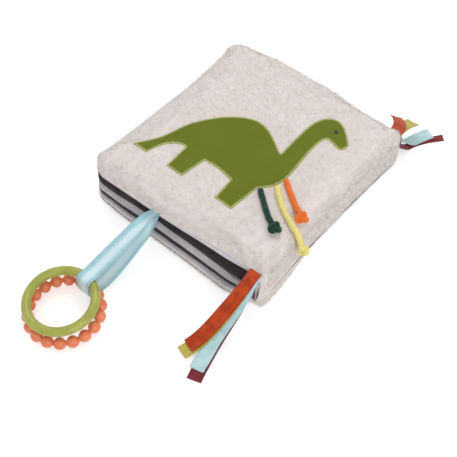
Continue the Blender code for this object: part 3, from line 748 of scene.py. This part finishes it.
def across_fold(made, fold, hem, first):
    """Bake a piece's place into its mesh. The line from the fold to the hem is worked out, but the
    piece is not bent.
    """
    along = Vector((spine_face - fold.x, 0.0, hem - fold.z)).normalized()
    through = Vector((-along.z, 0.0, along.x))
    if through.z * (half_way - fold.z) < 0:
        through = -through
    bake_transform(made)


def bare_spine(place, facing):
    """No pile on the faces inside the book, at the cuts, or under the tail end's lining."""
    return ((facing[:, 0] < -0.9) | (facing[:, 2] < -0.9) | (facing[:, 2] > 0.999)
            | (place[:, 2] < 1.0 * mm) | (np.abs(place[:, 2] - lower_hem) < hem_clear)
            | ((facing[:, 1] < -0.6) & (place[:, 2] < front_low)))


beyond = 60 * mm
spine = piece("spine_plush_band", spine_block(lower_hem, upper_hem), "spine", plush_material,
              ("spine_plush", "spine_wadding"))
pile("spine_pile", spine, "spine", 8500, 3, bare_spine)
for name, low, high, fold, hem, cover, count in (
        ("upper_fold", upper_hem, beyond, pins["cover_fold"], upper_hem, "front_cover", 9000),
        ("lower_fold", -beyond, lower_hem, pins["spine_fold"], lower_hem, "back_cover", 6000)):
    corner = piece(f"{name}_plush", spine_block(low, high), None, plush_material, ())
    hairs = pile(f"{name}_pile", corner, None, count, 10 + count, bare_spine)
    for item in (corner, hairs):
        across_fold(item, fold, hem, cover)

# %% [markdown]
# ## Page cloth
# The pages and linings are plain woven cotton, a pale lilac grey or nearly black. The weave is too
# fine to model, so it is a bump of crossed threads. A print of plain dots, kept off the edges,
# stands in for the pictures inside, which the photograph doesn't show.

# %% Page cloth
thread = 0.5 * mm


def page_cloth(name, light, dark, ink=None, dot_pitch=None):
    """Plain weave with uneven threads, and dots of ink away from the edges."""
    look = Look(name, Roughness=0.9, Specular_IOR_Level=0.2, Sheen_Weight=0.1)
    x, y = look.axis(0), look.axis(1)
    weave = (look.math("SINE", x * (tau / thread)) * 0.5
             + look.math("SINE", y * (tau / thread)) * 0.5)
    colour = look.drift(look.grain(14 * mm, 3.0), light, dark)
    if dot_pitch:
        cell_x, cell_y = ((look.math("FLOOR", value * (1.0 / dot_pitch)) + 0.5) * dot_pitch
                          for value in (x, y))
        inside = ((1.0 - (look.math("ABSOLUTE", cell_x + 4 * mm) > 60 * mm))
                  * (1.0 - (look.math("ABSOLUTE", cell_y) > 68 * mm)))
        across = look.math("FRACT", x * (1.0 / dot_pitch)) - 0.5
        along = look.math("FRACT", y * (1.0 / dot_pitch)) - 0.5
        far = look.math("SQRT", across * across + along * along)
        dots = (1.0 - look.ramp(far, 0.24, 0.27)) * inside
        colour = look.mix(dots, colour, ink)
    creases = look.grain(9 * mm, 3.0, (1.0, 0.35, 1.0))
    return look.feed(Base_Color=colour,
                     Normal=look.bump(weave * (0.1 * mm) + creases * (0.9 * mm), 1.0, 0.7))


light_page = page_cloth("light_page", paint(200, 195, 199), paint(182, 177, 182),
                        paint(120, 92, 84), 22 * mm)
black_page = page_cloth("black_page", paint(52, 42, 47), paint(34, 27, 32),
                        paint(222, 218, 224), 26 * mm)
lining_cloth = page_cloth("lining_cloth", paint(222, 219, 224), paint(206, 202, 210))

# %% [markdown]
# ## Leaves
# Each leaf is two cloth faces sewn round the edge over wadding and a crackling film. One face
# could end at the middle of the edge. Here, as in the photograph, the dark cloth wraps round
# the edge and meets the light one off the middle, so the closed book shows uneven bands.

# %% Leaves
leaf_plan = (-half_width + 0.6 * mm, spine_face - 1.2 * mm, half_length - 0.6 * mm,
             12.0 * mm, 0.6 * mm, 1.2 * mm)
leaf_edge = 5.0 * mm


def leaf_pad(low, high, seam):
    """A whole leaf, full at its edges, filled as cloth."""
    bm = bmesh.new()
    for end in (high, low):
        lower = add_pad(bm, leaf_plan, rounded(seam, end - seam, leaf_edge, fullness=2.6),
                        leaf_edge, 64, 70)
    bmesh.ops.reverse_faces(bm, faces=list({face for vert in lower for face in vert.link_faces}))
    bmesh.ops.remove_doubles(bm, verts=bm.verts, dist=0.05 * mm)
    bmesh.ops.recalc_face_normals(bm, faces=bm.faces)
    stuffed(bm, lambda place: place.x > spine_face - 6.0 * mm, 1.0, 0.02, 1.1 * mm, low, high)
    ruffle(bm, 0.3 * mm, 13 * mm, lambda place: smooth_share(spine_face - place.x, 0.0, 8 * mm))
    for vert in bm.verts:
        vert.co.z = limit(vert.co.z, low, high)
        vert.co = leaned(vert.co)
    return bm


for number, rise in ((1, 2.0 * mm), (2, 5.2 * mm)):
    body = f"leaf_{number}"
    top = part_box(f"{body}_upper_page")[1].z
    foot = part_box(f"{body}_lower_page")[0].z
    whole = leaf_pad(foot, top, (top + foot) / 2)
    for kinds, part, normal in ((("upper_page", "wadding"), whole.copy(), -1.0),
                                (("lower_page", "crinkle_film"), whole, 1.0)):
        slice_off(part, (0.0, 0.0, foot + rise), (0.0, 0.0, normal))
        dark = (number == 1) == (normal < 0)
        made = piece(f"{body}_{'black' if dark else 'light'}_face", part, body,
                     black_page if dark else light_page,
                     [f"{body}_{kind}" for kind in kinds])

# %% Linings


def lining(name, node, body):
    """A cover's flat lining, as far as the spine."""
    bottom, top = (corner.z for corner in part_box(node))
    bm = bmesh.new()
    add_pad(bm, cover_plan, lambda inset: bottom, 2 * mm, 60, 66)
    up = bmesh.ops.extrude_face_region(bm, geom=bm.faces[:])["geom"]
    bmesh.ops.translate(bm, verts=[item for item in up if isinstance(item, bmesh.types.BMVert)],
                        vec=(0.0, 0.0, top - bottom))
    bmesh.ops.recalc_face_normals(bm, faces=bm.faces)
    if body == "front_cover":
        pulled_back(bm, True)
    else:
        for vert in bm.verts:
            vert.co = leaned(vert.co)
    slice_off(bm, (spine_face - 0.3 * mm, 0.0, 0.0), (1.0, 0.0, 0.0))
    return piece(name, bm, body, lining_cloth, (node,))


lining("front_cover_lining", "front_lining", "front_cover")
lining("back_cover_lining", "back_lining", "back_cover")

spine_lining = bmesh.new()
bmesh.ops.create_cube(spine_lining, size=1.0)
bmesh.ops.scale(spine_lining, verts=spine_lining.verts,
                vec=(0.5 * mm, 2 * half_length - 16 * mm, upper_hem - lower_hem))
bmesh.ops.translate(spine_lining, verts=spine_lining.verts,
                    vec=(spine_face + 0.1 * mm, 1.0 * mm, (upper_hem + lower_hem) / 2))
piece("spine_inner_lining", spine_lining, "spine", lining_cloth, ("spine_lining",))

# %% [markdown]
# ## The spine's open end
# At the tail the spine's skin isn't closed: its lining bunches up in the opening. One flat patch
# would look like a lid, so a grid is pleated by a wave along the opening and crumpled by noise. The
# lining's colour carries painted shade in its folds, which gives way to the plain colour towards
# the top.

# %% Bunched lining
folds = Look("folded_lining", Roughness=0.85, Specular_IOR_Level=0.25)
fold_shade_wave = folds.math("SINE", folds.cloth(0) * 5.5
                       + folds.math("SINE", folds.cloth(1) * 2.4 + folds.cloth(0)) * 1.3)
rumple = folds.grain(3.0 * mm, 3.0)
# The colour darkens along the pleats' wave and the crumples: painted shade in the folds. Towards
# the top it gives way to the plain lining colour.
folds_material = folds.feed(
    Base_Color=folds.mix(folds.ramp(folds.cloth(1), -0.3, 0.9),
                         folds.mix(folds.ramp(fold_shade_wave + rumple * 0.5, -0.6, 0.7),
                                   paint(88, 74, 82), paint(170, 161, 167)),
                         paint(206, 198, 198)),
    Normal=folds.bump(rumple, 0.5 * mm, 0.5))


def tail_face(z):
    """How far the spine's tail end lies from the middle at a height."""
    return half_length - draw_back * drawn_share(z)


bunch = bmesh.new()
bmesh.ops.create_grid(bunch, x_segments=26, y_segments=60, size=1.0)
layer = bunch.loops.layers.uv.new("UVMap")
for face in bunch.faces:
    for loop in face.loops:
        loop[layer].uv = (loop.vert.co.x, loop.vert.co.y)
for vert in bunch.verts:
    u, v = vert.co.x, vert.co.y
    z = lower_hem + 0.3 * mm + (upper_hem - lower_hem - 3.5 * mm) * (v + 1.0) / 2.0
    x = spine_face + 3.1 * mm + 2.7 * mm * u * (1.0 - 0.25 * abs(v) ** 3)
    bulge = (1.0 - u * u) * (1.0 - v ** 4)
    pleat = 0.8 * mm * sin(5.5 * u + 1.3 * sin(2.4 * v + u))
    crumple = 0.6 * mm * noise.noise(Vector((u * 1.3, v * 2.2, 0.4)))
    vert.co = (x, -tail_face(z) - bulge * (0.9 * mm + pleat + crumple) + 0.4 * mm, z)
bmesh.ops.recalc_face_normals(bunch, faces=bunch.faces)
bunched = piece("spine_end_lining", bunch, "spine", folds_material, ())
doubled = bunched.modifiers.new("thickness", "SOLIDIFY")
doubled.thickness = 0.4 * mm
doubled.offset = -1.0

# %% [markdown]
# ## Felt dinosaur
# The dinosaur is cut from felt and sewn on with a satin stitch, a dense row of short threads
# laid over the felt's edge. The felt could be one flat face, but a soft rounded edge catches
# the light, so its rim is inset and lowered. The thread is lighter than the felt, which gives
# the shape its pale outline.

# %% Felt
felt = Look("green_felt", Roughness=0.95, Sheen_Weight=0.15, Sheen_Roughness=0.5,
            Specular_IOR_Level=0.12)
tangle = felt.grain(0.8 * mm, 4.0)
shade = felt.drift(felt.grain(16 * mm, 3.0), paint(109, 121, 30), paint(114, 126, 38))
felt_material = felt.feed(Base_Color=felt.drift(tangle, paint(104, 115, 30), shade),
                          Normal=felt.bump(tangle, 0.2 * mm, 0.5))

felt_bm = bmesh.new()
felt_base = front_high + 0.1 * mm
ring = [felt_bm.verts.new((p.x, p.y, felt_base)) for p in dinosaur_edge]
felt_bm.faces.new(ring)
bmesh.ops.inset_region(felt_bm, faces=felt_bm.faces[:], thickness=0.9 * mm, depth=0.0,
                       use_boundary=True, use_even_offset=True)
inner = max(felt_bm.faces, key=lambda face: len(face.verts))
inner_verts = set(inner.verts)
bmesh.ops.translate(felt_bm, verts=list(inner_verts), vec=(0.0, 0.0, felt_high - felt_base))
skirt_verts, _ = draw_out(felt_bm, [edge for edge in felt_bm.edges if edge.is_boundary])
bmesh.ops.translate(felt_bm, verts=skirt_verts, vec=(0.0, 0.0, -1.0 * mm))
for vert in felt_bm.verts:
    if vert not in inner_verts and vert not in skirt_verts:
        vert.co.z = felt_base + 0.5 * (felt_high - felt_base)
close_holes(felt_bm)
bmesh.ops.triangulate(felt_bm, faces=[face for face in felt_bm.faces if len(face.verts) > 4])
piece("felt_dinosaur", felt_bm, "front_cover", felt_material, ("dinosaur_applique",))

# %% Satin stitch
# Short arched threads lie side by side across the felt's outline.
stitches = Look("green_thread", Roughness=0.5, Sheen_Weight=0.15, Specular_IOR_Level=0.4)
stitch_material = stitches.feed(Base_Color=stitches.drift(
    stitches.grain(1.2 * mm, 2.0), paint(152, 160, 84), paint(182, 188, 116)))


arch = bmesh.new()
bmesh.ops.create_cone(arch, segments=5, radius1=0.5, radius2=0.5, depth=1.0, cap_ends=True,
                      matrix=Matrix.Rotation(pi / 2, 4, "Y"))
bmesh.ops.subdivide_edges(arch, edges=[edge for edge in arch.edges if abs(
    edge.verts[0].co.x - edge.verts[1].co.x) > 0.5], cuts=3, use_grid_fill=False)
arch_mesh = bpy.data.meshes.new("one_stitch")
arch.to_mesh(arch_mesh)
arch.free()

reach_in, reach_out, stitch_rise, stitch_pitch = 1.5 * mm, 0.8 * mm, 1.2 * mm, 0.5 * mm
sides = [q - p for p, q in zip(dinosaur_edge, dinosaur_edge[1:] + dinosaur_edge[:1])]
total = sum(side.length for side in sides)
stitches_round = int(total / stitch_pitch)
row = bmesh.new()
i, gone = 0, 0.0
for k in range(stitches_round):
    at = total * k / stitches_round
    while gone + sides[i].length < at:
        gone += sides[i].length
        i += 1
    along = sides[i].normalized()
    slant = (Vector((-along.y, along.x)) + along * 0.18).normalized()
    wobble = 0.1 * mm * noise.noise(Vector((at * 900, 0.3, 0.0)))
    centre = dinosaur_edge[i] + along * (at - gone) + slant * ((reach_in - reach_out) / 2 + wobble)
    first = len(row.verts)
    row.from_mesh(arch_mesh)
    row.verts.ensure_lookup_table()
    for vert in row.verts[first:]:
        x, y, z = vert.co
        flat = centre + slant * x * (reach_in + reach_out) + along * y * stitch_pitch * 1.15
        vert.co = (flat.x, flat.y, front_high + 0.3 * mm + stitch_rise * (1.0 - (2 * x) ** 4)
                   + z * 0.35 * mm)
bpy.data.meshes.remove(arch_mesh)
bmesh.ops.recalc_face_normals(row, faces=row.faces)
piece("dinosaur_satin_stitch", row, "front_cover", stitch_material, ("dinosaur_stitch_border",))

# %% Eye
eye_look = Look("eye_thread", Roughness=0.4, Specular_IOR_Level=0.5)
eye_material = eye_look.feed(Base_Color=eye_look.drift(
    eye_look.grain(0.6 * mm, 2.0), paint(22, 24, 18), paint(40, 42, 30)))
eye_low, eye_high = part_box("dinosaur_eye")
eye_bm = bmesh.new()
bmesh.ops.create_uvsphere(eye_bm, u_segments=24, v_segments=12, radius=1.0)
bmesh.ops.scale(eye_bm, verts=eye_bm.verts, vec=((eye_high.x - eye_low.x) / 2,
                                                 (eye_high.y - eye_low.y) / 2, 0.7 * mm))
bmesh.ops.translate(eye_bm, verts=eye_bm.verts,
                    vec=((eye_low.x + eye_high.x) / 2, (eye_low.y + eye_high.y) / 2,
                         felt_high + 0.1 * mm))
piece("dinosaur_stitched_eye", eye_bm, "front_cover", eye_material, ("dinosaur_eye",))

# %% [markdown]
# ## Belly cords
# Three soft cords hang from the belly, each with a knot near its end. A cord is a tube swept
# along its route. Its plies are modelled as a twist in the tube's radius, which also gives it
# a broken outline. The knots follow a trefoil, the curve of a real overhand knot.

# %% Cords
cord_routes = {
    "green": ((37.2, -32.2), (42.5, -36.4), (48.0, -40.8), (53.0, -44.6), (57.5, -47.5),
              (62.0, -49.8)),
    "yellow": ((44.4, -22.0), (49.5, -26.8), (55.4, -31.6), (61.3, -35.6), (67.2, -38.8),
               (72.6, -41.4)),
    "orange": ((45.8, -13.2), (50.6, -16.9), (55.8, -20.6), (61.0, -24.2), (66.0, -27.4),
               (71.0, -30.4)),
}
cord_colours = {"green": (paint(10, 44, 34), paint(22, 66, 50)),
                "yellow": (paint(232, 212, 112), paint(246, 234, 158)),
                "orange": (paint(226, 98, 18), paint(246, 130, 44))}
cord_radius = 2.25 * mm
cord_lie = front_high + 0.3 * mm + cord_radius


def smooth_route(points, steps):
    """Points along a smooth curve through a route's own points."""
    ends = [points[0] * 2 - points[1], *points, points[-1] * 2 - points[-2]]
    route = [between(a, b, c, d, k / steps)
             for a, b, c, d in zip(ends, ends[1:], ends[2:], ends[3:]) for k in range(steps)]
    return route + [points[-1]]


def length_of(route):
    return sum((q - p).length for p, q in zip(route, route[1:]))


def sweep(bm, route, radius_at, sides=18):
    """A closed tube along a route. radius_at gives the radius from the turn and the run."""
    normal = Vector((0.0, 0.0, 1.0))
    run, previous = 0.0, None
    for i, point in enumerate(route):
        along = (route[min(i + 1, len(route) - 1)] - route[max(i - 1, 0)]).normalized()
        normal = (normal - along * normal.dot(along)).normalized()
        across = along.cross(normal)
        run += (point - route[i - 1]).length if i else 0.0
        if previous is None:
            ring = bmesh.ops.create_circle(bm, segments=sides, radius=1.0, cap_ends=True)["verts"]
            edges = list({edge for vert in ring for edge in vert.link_edges})
        else:
            ring, edges = draw_out(bm, previous)
        for k, vert in enumerate(ring):
            turn = tau * k / sides
            reach = radius_at(turn, run)
            vert.co = point + normal * reach * cos(turn) + across * reach * sin(turn)
        previous = edges
    close_holes(bm)


def ply(radius):
    """A radius that three twisted plies make, uneven along the way."""
    def reach(turn, run):
        lump = 0.05 * noise.noise(Vector((run / (4 * mm), radius / mm, 0.0)))
        return radius * (0.92 + lump + 0.10 * abs(sin(1.5 * turn + pi * run / (7 * mm))))
    return reach


def cord_look(colour):
    dark, light = cord_colours[colour]
    look = Look(f"{colour}_cord", Roughness=0.9, Sheen_Weight=0.3, Specular_IOR_Level=0.2)
    fuzz = look.grain(0.7 * mm, 3.0)
    return look.feed(Base_Color=look.drift(fuzz, dark, light),
                     Normal=look.bump(fuzz, 0.25 * mm, 0.6))


def overhand_knot(start, along, size, tail_length):
    """The route of a cord through a simple knot and out to its short tail."""
    across = along.cross(Vector((0.0, -1.0, 0.0)) if along.z < -0.5 else
                         Vector((0.0, 0.0, -1.0))).normalized()
    up = across.cross(along)
    centre = start + along * 3.0 * size
    loop = []
    for k in range(40):
        t = tau * (k + 0.5) / 40 + 0.3
        a, b, c = sin(t) + 2 * sin(2 * t), cos(t) - 2 * cos(2 * t), -sin(3 * t)
        loop.append(centre + (along * a + across * b) * size + up * c * size)
    first = min(range(40), key=lambda k: (loop[k] - start).length)
    loop = loop[first:] + loop[:first]
    tail = [loop[-1] + along * tail_length * share + across * share * 1.5 * mm
            for share in (0.4, 0.7, 1.0)]
    return smooth_route([start, *loop[1:-1:2], *tail], 3)


def over_the_edge(y, turn):
    """A cord's middle where it bends down over the cover's edge above the spine."""
    off, rise = cord_radius + 0.5 * mm, sin(radians(turn))
    return Vector((half_width - front_edge + (front_edge + off) * cos(radians(turn)), y,
                   front_low + (front_high - crown_height - front_low + off) * rise
                   + crown_height * rise ** 8))


for colour, plan_points in cord_routes.items():
    look_material, over_edge = cord_look(colour), colour == "yellow"
    own = [Vector((x * mm, y * mm, cord_lie)) for x, y in plan_points]
    own.insert(0, own[0] - (own[1] - own[0]).normalized() * 2.0 * mm)
    if over_edge:
        own += [over_the_edge(-42.6 * mm, 62), over_the_edge(-43.6 * mm, 38),
                over_the_edge(-44.4 * mm, 16)]
    route = smooth_route(own, 10)
    cord_bm = bmesh.new()
    sweep(cord_bm, route, ply(cord_radius))
    length = length_of(route)
    rides = None if over_edge else "front_cover"
    cord = piece(f"{colour}_belly_cord", cord_bm, rides, look_material,
                 (f"{colour}_string",))
    heading = (own[-1] - own[-2]).normalized()
    knot_route = overhand_knot(own[-1], heading, 1.2 * mm, 6.0 * mm)
    lift = (Vector((1.5 * mm, 0.0, 0.0)) if over_edge else
            Vector((0.0, 0.0, cord_lie - min(point.z for point in knot_route))))
    knot_route = [point + lift * min(1.0, 0.2 + k / 8) for k, point in enumerate(knot_route)]
    knot_bm = bmesh.new()
    sweep(knot_bm, knot_route, ply(cord_radius * 0.82), 12)
    knot = piece(f"{colour}_knot", knot_bm, rides, look_material,
                 (f"{colour}_string_knot",))
    if over_edge:
        for item in (cord, knot):
            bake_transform(item)
    [list(point) for point in route]
    print(colour, "cord", round(length / mm, 1), "mm")

# %% [markdown]
# ## Ribbons
# The tufts are short pieces of ribbed ribbon, and the rings hang on a loop of satin ribbon. A
# ribbon is a strip that bends only along its length, so each strip is a narrow grid laid along
# its route, cupped a little across, and given its thickness by Solidify. Where the satin is
# sewn in it is gathered, so it narrows there and cups more.

# %% Ribbon strips
ribbon_thick, ribbon_pitch, visible_thick = 0.8 * mm, 1.1 * mm, 0.45 * mm


def strip(name, route, width, body, material, stands_for, cup,
          width_at=lambda run, length: 1.0, square=True):
    """A ribbon along a route of points in order. cup is how far its edges bend, width_at its
    width along the way as a share, and square turns its width to stay across the route."""
    run = [0.0]
    for p, q in zip(route, route[1:]):
        run.append(run[-1] + (q - p).length)
    length = run[-1]
    bm = bmesh.new()
    bmesh.ops.create_grid(bm, x_segments=12, y_segments=len(route) - 1, size=1.0)
    layer = bm.loops.layers.uv.new("UVMap")
    places = {}
    for vert in bm.verts:
        share = vert.co.x
        i = round((vert.co.y + 1.0) / 2.0 * (len(route) - 1))
        along = (route[min(i + 1, len(route) - 1)] - route[max(i - 1, 0)]).normalized()
        side = Vector((1.0, 0.0, 0.0))
        if square:
            side = (side - along * side.dot(along)).normalized()
        up = side.cross(along).normalized()
        if square and up.z < 0:
            up = -up
        wide = width_at(run[i], length)
        sewn = smooth_share(min(run[i], length - run[i]), 1 * mm, 9 * mm)
        bend = cup(run[i], length) + 0.4 * width * sqrt(max(1.0 - wide * wide, 0.0)) * sewn
        places[vert] = (share, run[i])
        vert.co = (route[i] + side * share * width * wide / 2
                   + up * bend * (0.33 - share * share))
        vert.co.z = max(vert.co.z, visible_thick / 2 + 0.05 * mm)
    for face in bm.faces:
        for loop in face.loops:
            share, far = places[loop.vert]
            loop[layer].uv = (share * width / 2 / mm, far / mm)
    made = piece(name, bm, body, material, stands_for, sharp=80.0)
    thick = made.modifiers.new("thickness", "SOLIDIFY")
    thick.thickness = visible_thick
    thick.offset = 0.0
    print(name, round(length / mm, 1), "mm long")


def ribbed(name, dark, light, rib=0.9):
    """Ribbon with fine ribs across it and darker edges. The UV map is in millimetres."""
    look = Look(name, Roughness=0.8, Sheen_Weight=0.15, Specular_IOR_Level=0.25)
    ribs = look.math("SINE", look.cloth(1) * (tau / rib)) * 0.5 + 0.5
    worn = look.ramp(look.grain(6 * mm, 3.0), 0.35, 0.65)
    border = look.ramp(look.math("ABSOLUTE", look.cloth(0)), 4.2, 5.0)
    body = look.mix(worn * 0.6 + ribs * 0.4, dark, light)
    return look.feed(Base_Color=look.mix(border * 0.7, body, dark),
                     Normal=look.bump(ribs, 0.15 * mm, 0.7))


ribbon_looks = {
    "orange": ribbed("orange_ribbon", paint(160, 48, 14), paint(208, 78, 26)),
    "olive": ribbed("olive_ribbon", paint(184, 168, 70), paint(206, 192, 98)),
    "blue": ribbed("blue_ribbon", paint(176, 214, 220), paint(206, 234, 238)),
    "maroon": ribbed("maroon_ribbon", paint(110, 34, 40), paint(142, 48, 54)),
}
# Of each ribbon: colour, length and sideways sweep as shares of the tuft's run, bow in mm,
# width at its narrow end, the share of the run in which it sinks, and its fall at the seam in mm.
tufts = {
    "tail": (("orange", 1.00, -0.14, 1.0, 0.86, 1.0, 0.0),
             ("olive", 1.11, -0.14, 1.0, 0.86, 1.0, 0.0),
             ("blue", 1.15, 0.12, 3.2, 1.0, 1.0, 0.0),
             ("maroon", 1.26, 0.18, 3.0, 0.8, 1.0, 0.0)),
    "head": (("orange", 0.37, -0.22, 0.0, 1.0, 1.0, 0.0),
             ("olive", 0.62, -0.055, 0.0, 1.0, 1.0, 0.0),
             ("blue", 0.76, 0.175, 0.0, 1.0, 0.48, 10.0),
             ("maroon", 0.82, 0.345, 0.0, 0.62, 0.42, 15.0)),
}
for end, toward in (("tail", -1.0), ("head", 1.0)):
    pin = pins[f"{end}_tuft_swing"]
    tuck = 3.5 * mm if end == "tail" else 1.8 * mm
    for level, (colour, long, sweep_share, bow, pinch, drop, low) in enumerate(tufts[end]):
        root = pin.z - (1.6 + level * 0.85) * mm
        foot = 0.5 * mm + (3 - level) * ribbon_pitch
        route = []
        for k in range(57):
            share = k / 56
            run = tuft_run * long * share - tuck * (1.0 - share)
            sag = smooth_share(run, 1.0 * mm, tuft_run * drop)
            x = (pin.x - 0.5 * mm + tuft_run * sweep_share * share ** 2.4
                 + bow * mm * smooth_share(share, 0.0, 0.3) * smooth_share(-share, -0.75, -0.3))
            start = root - low * mm * smooth_share(run, 0.3 * mm, 6.5 * mm)
            route.append(Vector((x, pin.y + toward * run, start + (foot - start) * sag)))

        def width_at(run, length, end=end, pinch=pinch):
            """Narrow at its root in the tail tuft, and folded in two in the head tuft."""
            full = smooth_share(run, 5 * mm, 40 * mm)
            return pinch + (1.0 - pinch) * (full if end == "tail" else 1.0 - full)

        strip(f"{end}_{colour}_tag", route, 10.5 * mm, f"{end}_tuft", ribbon_looks[colour],
              (f"{end}_{colour}_ribbon",),
              lambda run, length: -0.55 * mm * smooth_share(run, 0.0, 25 * mm),
              width_at)

# %% Ribbon loop
loop_width, loop_fold_x, loop_skew = 12.4 * mm, -19.0 * mm, 1.8 * mm
upper_shares = ((0.0, 0.0), (0.2, 0.12), (0.45, 0.36), (0.7, 0.68), (0.9, 0.95), (1.0, 1.0))
lower_shares = ((0.0, 0.0, 0.0), (0.15, 0.08, 0.45), (0.4, 0.34, 0.95), (0.65, 0.64, 1.0),
                (0.88, 0.90, 0.5), (1.0, 1.0, 0.0))
ring_radius, ring_tube = 24.2 * mm, 3.4 * mm
bead_ring_radius, bead_radius, bead_count = 25.6 * mm, 4.4 * mm, 18
smooth_middle, bead_middle = pins["smooth_ring_turn"], pins["bead_ring_turn"]
loop_pin = pins["loop_swing"]


def round_tube(centre_y, centre_z, radius, start):
    """A quarter of the ribbon's way round a ring's tube."""
    return [Vector((loop_fold_x, centre_y + radius * cos(start + pi / 2 * k / 10),
                    centre_z + radius * sin(start + pi / 2 * k / 10))) for k in range(11)]


half = ribbon_thick / 2
reach = 0.3 * mm + half
smooth_y, bead_y = (middle.y + sqrt(radius ** 2
                                    - (abs(loop_fold_x - middle.x) + loop_width / 2) ** 2)
                    for middle, radius in ((smooth_middle, ring_radius),
                                           (bead_middle, bead_ring_radius)))
tilt = abs(spins["smooth_ring_turn"].y)
near_top = smooth_middle.z + ring_radius * tilt
over, under = near_top + ring_tube + reach, 0.1 * mm + half
fold = (round_tube(smooth_y, near_top, ring_tube + reach, pi / 2)
        + round_tube(bead_y, under + bead_radius + reach, bead_radius + reach, pi))
front_y, outside_y = (smooth_middle.y + ring_radius,
                      bead_middle.y + bead_ring_radius + bead_radius)
upper_root = loop_pin.z - half
lower_root = upper_root - ribbon_pitch
upper_leg = [Vector((loop_place + (loop_fold_x - loop_place) * share,
                     loop_pin.y + (front_y - loop_pin.y) * share,
                     upper_root + (over - upper_root) * drop)) for share, drop in upper_shares]
lower_leg = [Vector((loop_fold_x + (loop_place - loop_fold_x) * share + loop_skew * skew,
                     outside_y + (loop_pin.y - outside_y) * share,
                     under + (lower_root - under) * rise)) for share, rise, skew in lower_shares]
sewn_in = Vector((0.0, 1.4 * mm, 0.0))
upper_leg.insert(0, upper_leg[0] + sewn_in)
lower_leg.append(lower_leg[-1] + sewn_in)
loop_route = smooth_route(upper_leg, 8) + fold + smooth_route(lower_leg, 8)

satin = Look("pale_blue_satin", Roughness=0.3, Sheen_Weight=0.1, Specular_IOR_Level=0.5)
across = satin.cloth(0)
threads = satin.node("ShaderNodeTexNoise", None, {
    "Vector": satin.node("ShaderNodeCombineXYZ", None, {0: across * 2.2,
                                                        1: satin.cloth(1) * 0.035}),
    "Scale": 1.0, "Detail": 2.0})
# The satin is lighter in streaks along its threads and down its middle: a painted highlight.
middle = 1.0 - satin.ramp(satin.math("ABSOLUTE", across - 0.6), 0.3, 5.6)
streak_highlight = satin.ramp(threads * 0.7 + middle * 0.5, 0.34, 0.86)
along = satin.cloth(1)
# Towards both sewn-in roots the colour darkens: painted shade where the ribbon is gathered under
# the plush's edge.
from_root = satin.math("MINIMUM", along, length_of(loop_route) / mm - along)
root_shade = 1.0 - satin.ramp(from_root, 0.0, 14.0)
satin_material = satin.feed(
    Base_Color=satin.mix(root_shade * 0.75,
                         satin.mix(streak_highlight, paint(158, 202, 213), paint(214, 237, 243)),
                         paint(126, 160, 168)),
    Normal=satin.bump(threads, 0.12 * mm, 0.5))


def gathered(run, length):
    """The ribbon's width: gathered where it is sewn in, full from 25 mm on."""
    return 0.62 + 0.38 * smooth_share(min(run, length - run), 2 * mm, 26 * mm)


strip("satin_ring_loop", loop_route, loop_width, "ring_loop", satin_material,
      ("ring_loop_ribbon",),
      lambda run, length: 0.9 * mm * smooth_share(abs(run - length / 2), 14 * mm, 34 * mm),
      gathered, square=False)

# %% [markdown]
# ## Teether rings
# Both rings are moulded. The smooth one is a circle spun round, with the faint ridge of its
# mould's parting line, and the other is a tube whose radius swells into beads along the way.

# %% Rings


def set_down(bm, pin):
    """Tilt a flat ring as its pin leans and move it to its place."""
    lean = Vector((0.0, 0.0, 1.0)).rotation_difference(spins[pin]).to_matrix().to_4x4()
    bmesh.ops.transform(bm, matrix=Matrix.Translation(pins[pin]) @ lean, verts=bm.verts)


ring_green = Look("green_ring", Roughness=0.3, Coat_Weight=0.2, Coat_Roughness=0.15)
scuffs = ring_green.grain(1.6 * mm, 4.0)
green_material = ring_green.feed(
    Base_Color=ring_green.drift(ring_green.grain(11 * mm, 2.0), paint(156, 160, 58),
                                paint(172, 176, 74)),
    Roughness=0.26 + scuffs * 0.14, Normal=ring_green.bump(scuffs, 0.03 * mm, 0.3))
coral = Look("coral_beads", Roughness=0.35, Coat_Weight=0.15, Coat_Roughness=0.2)
coral_fine = coral.grain(1.2 * mm, 3.0)
coral_material = coral.feed(
    Base_Color=coral.drift(coral.grain(8 * mm, 2.0), paint(226, 119, 74), paint(236, 138, 94)),
    Roughness=0.32 + coral_fine * 0.14, Normal=coral.bump(coral_fine, 0.03 * mm, 0.3))

torus = bmesh.new()
profile = bmesh.ops.create_circle(torus, segments=28, radius=ring_tube, matrix=(
    Matrix.Translation((ring_radius, 0.0, 0.0)) @ Matrix.Rotation(pi / 2, 4, "X")))["verts"]
for vert in profile:
    if abs(vert.co.z) < 0.05 * mm:
        vert.co.x += 0.1 * mm if vert.co.x > ring_radius else -0.1 * mm
bmesh.ops.spin(torus, geom=torus.verts[:] + torus.edges[:], axis=(0.0, 0.0, 1.0),
               cent=(0.0, 0.0, 0.0), angle=tau, steps=120, use_merge=True)
bmesh.ops.recalc_face_normals(torus, faces=torus.faces)
set_down(torus, "smooth_ring_turn")
piece("teether_smooth_ring", torus, "smooth_teether", green_material, ("smooth_ring",))

pitch = tau * bead_ring_radius / bead_count


def beaded(turn, run):
    """The tube's radius: a bead every pitch, joined by short necks."""
    along = (run / pitch % 1.0 - 0.5) * pitch
    bead = sqrt(max(bead_radius ** 2 - along ** 2, 0.0))
    return max(bead, 1.7 * mm)


beads = bmesh.new()
steps = bead_count * 16
sweep(beads, [Vector((bead_ring_radius * cos(tau * k / steps),
                      bead_ring_radius * sin(tau * k / steps), 0.0)) for k in range(steps)],
      beaded, 20)
end_caps = [face for face in beads.faces if len(face.verts) > 4]
bmesh.ops.delete(beads, geom=end_caps, context="FACES_ONLY")
bmesh.ops.bridge_loops(beads, edges=[edge for edge in beads.edges if edge.is_boundary])
bmesh.ops.recalc_face_normals(beads, faces=beads.faces)
set_down(beads, "bead_ring_turn")
piece("teether_bead_ring", beads, "bead_teether", coral_material, ("bead_ring",))
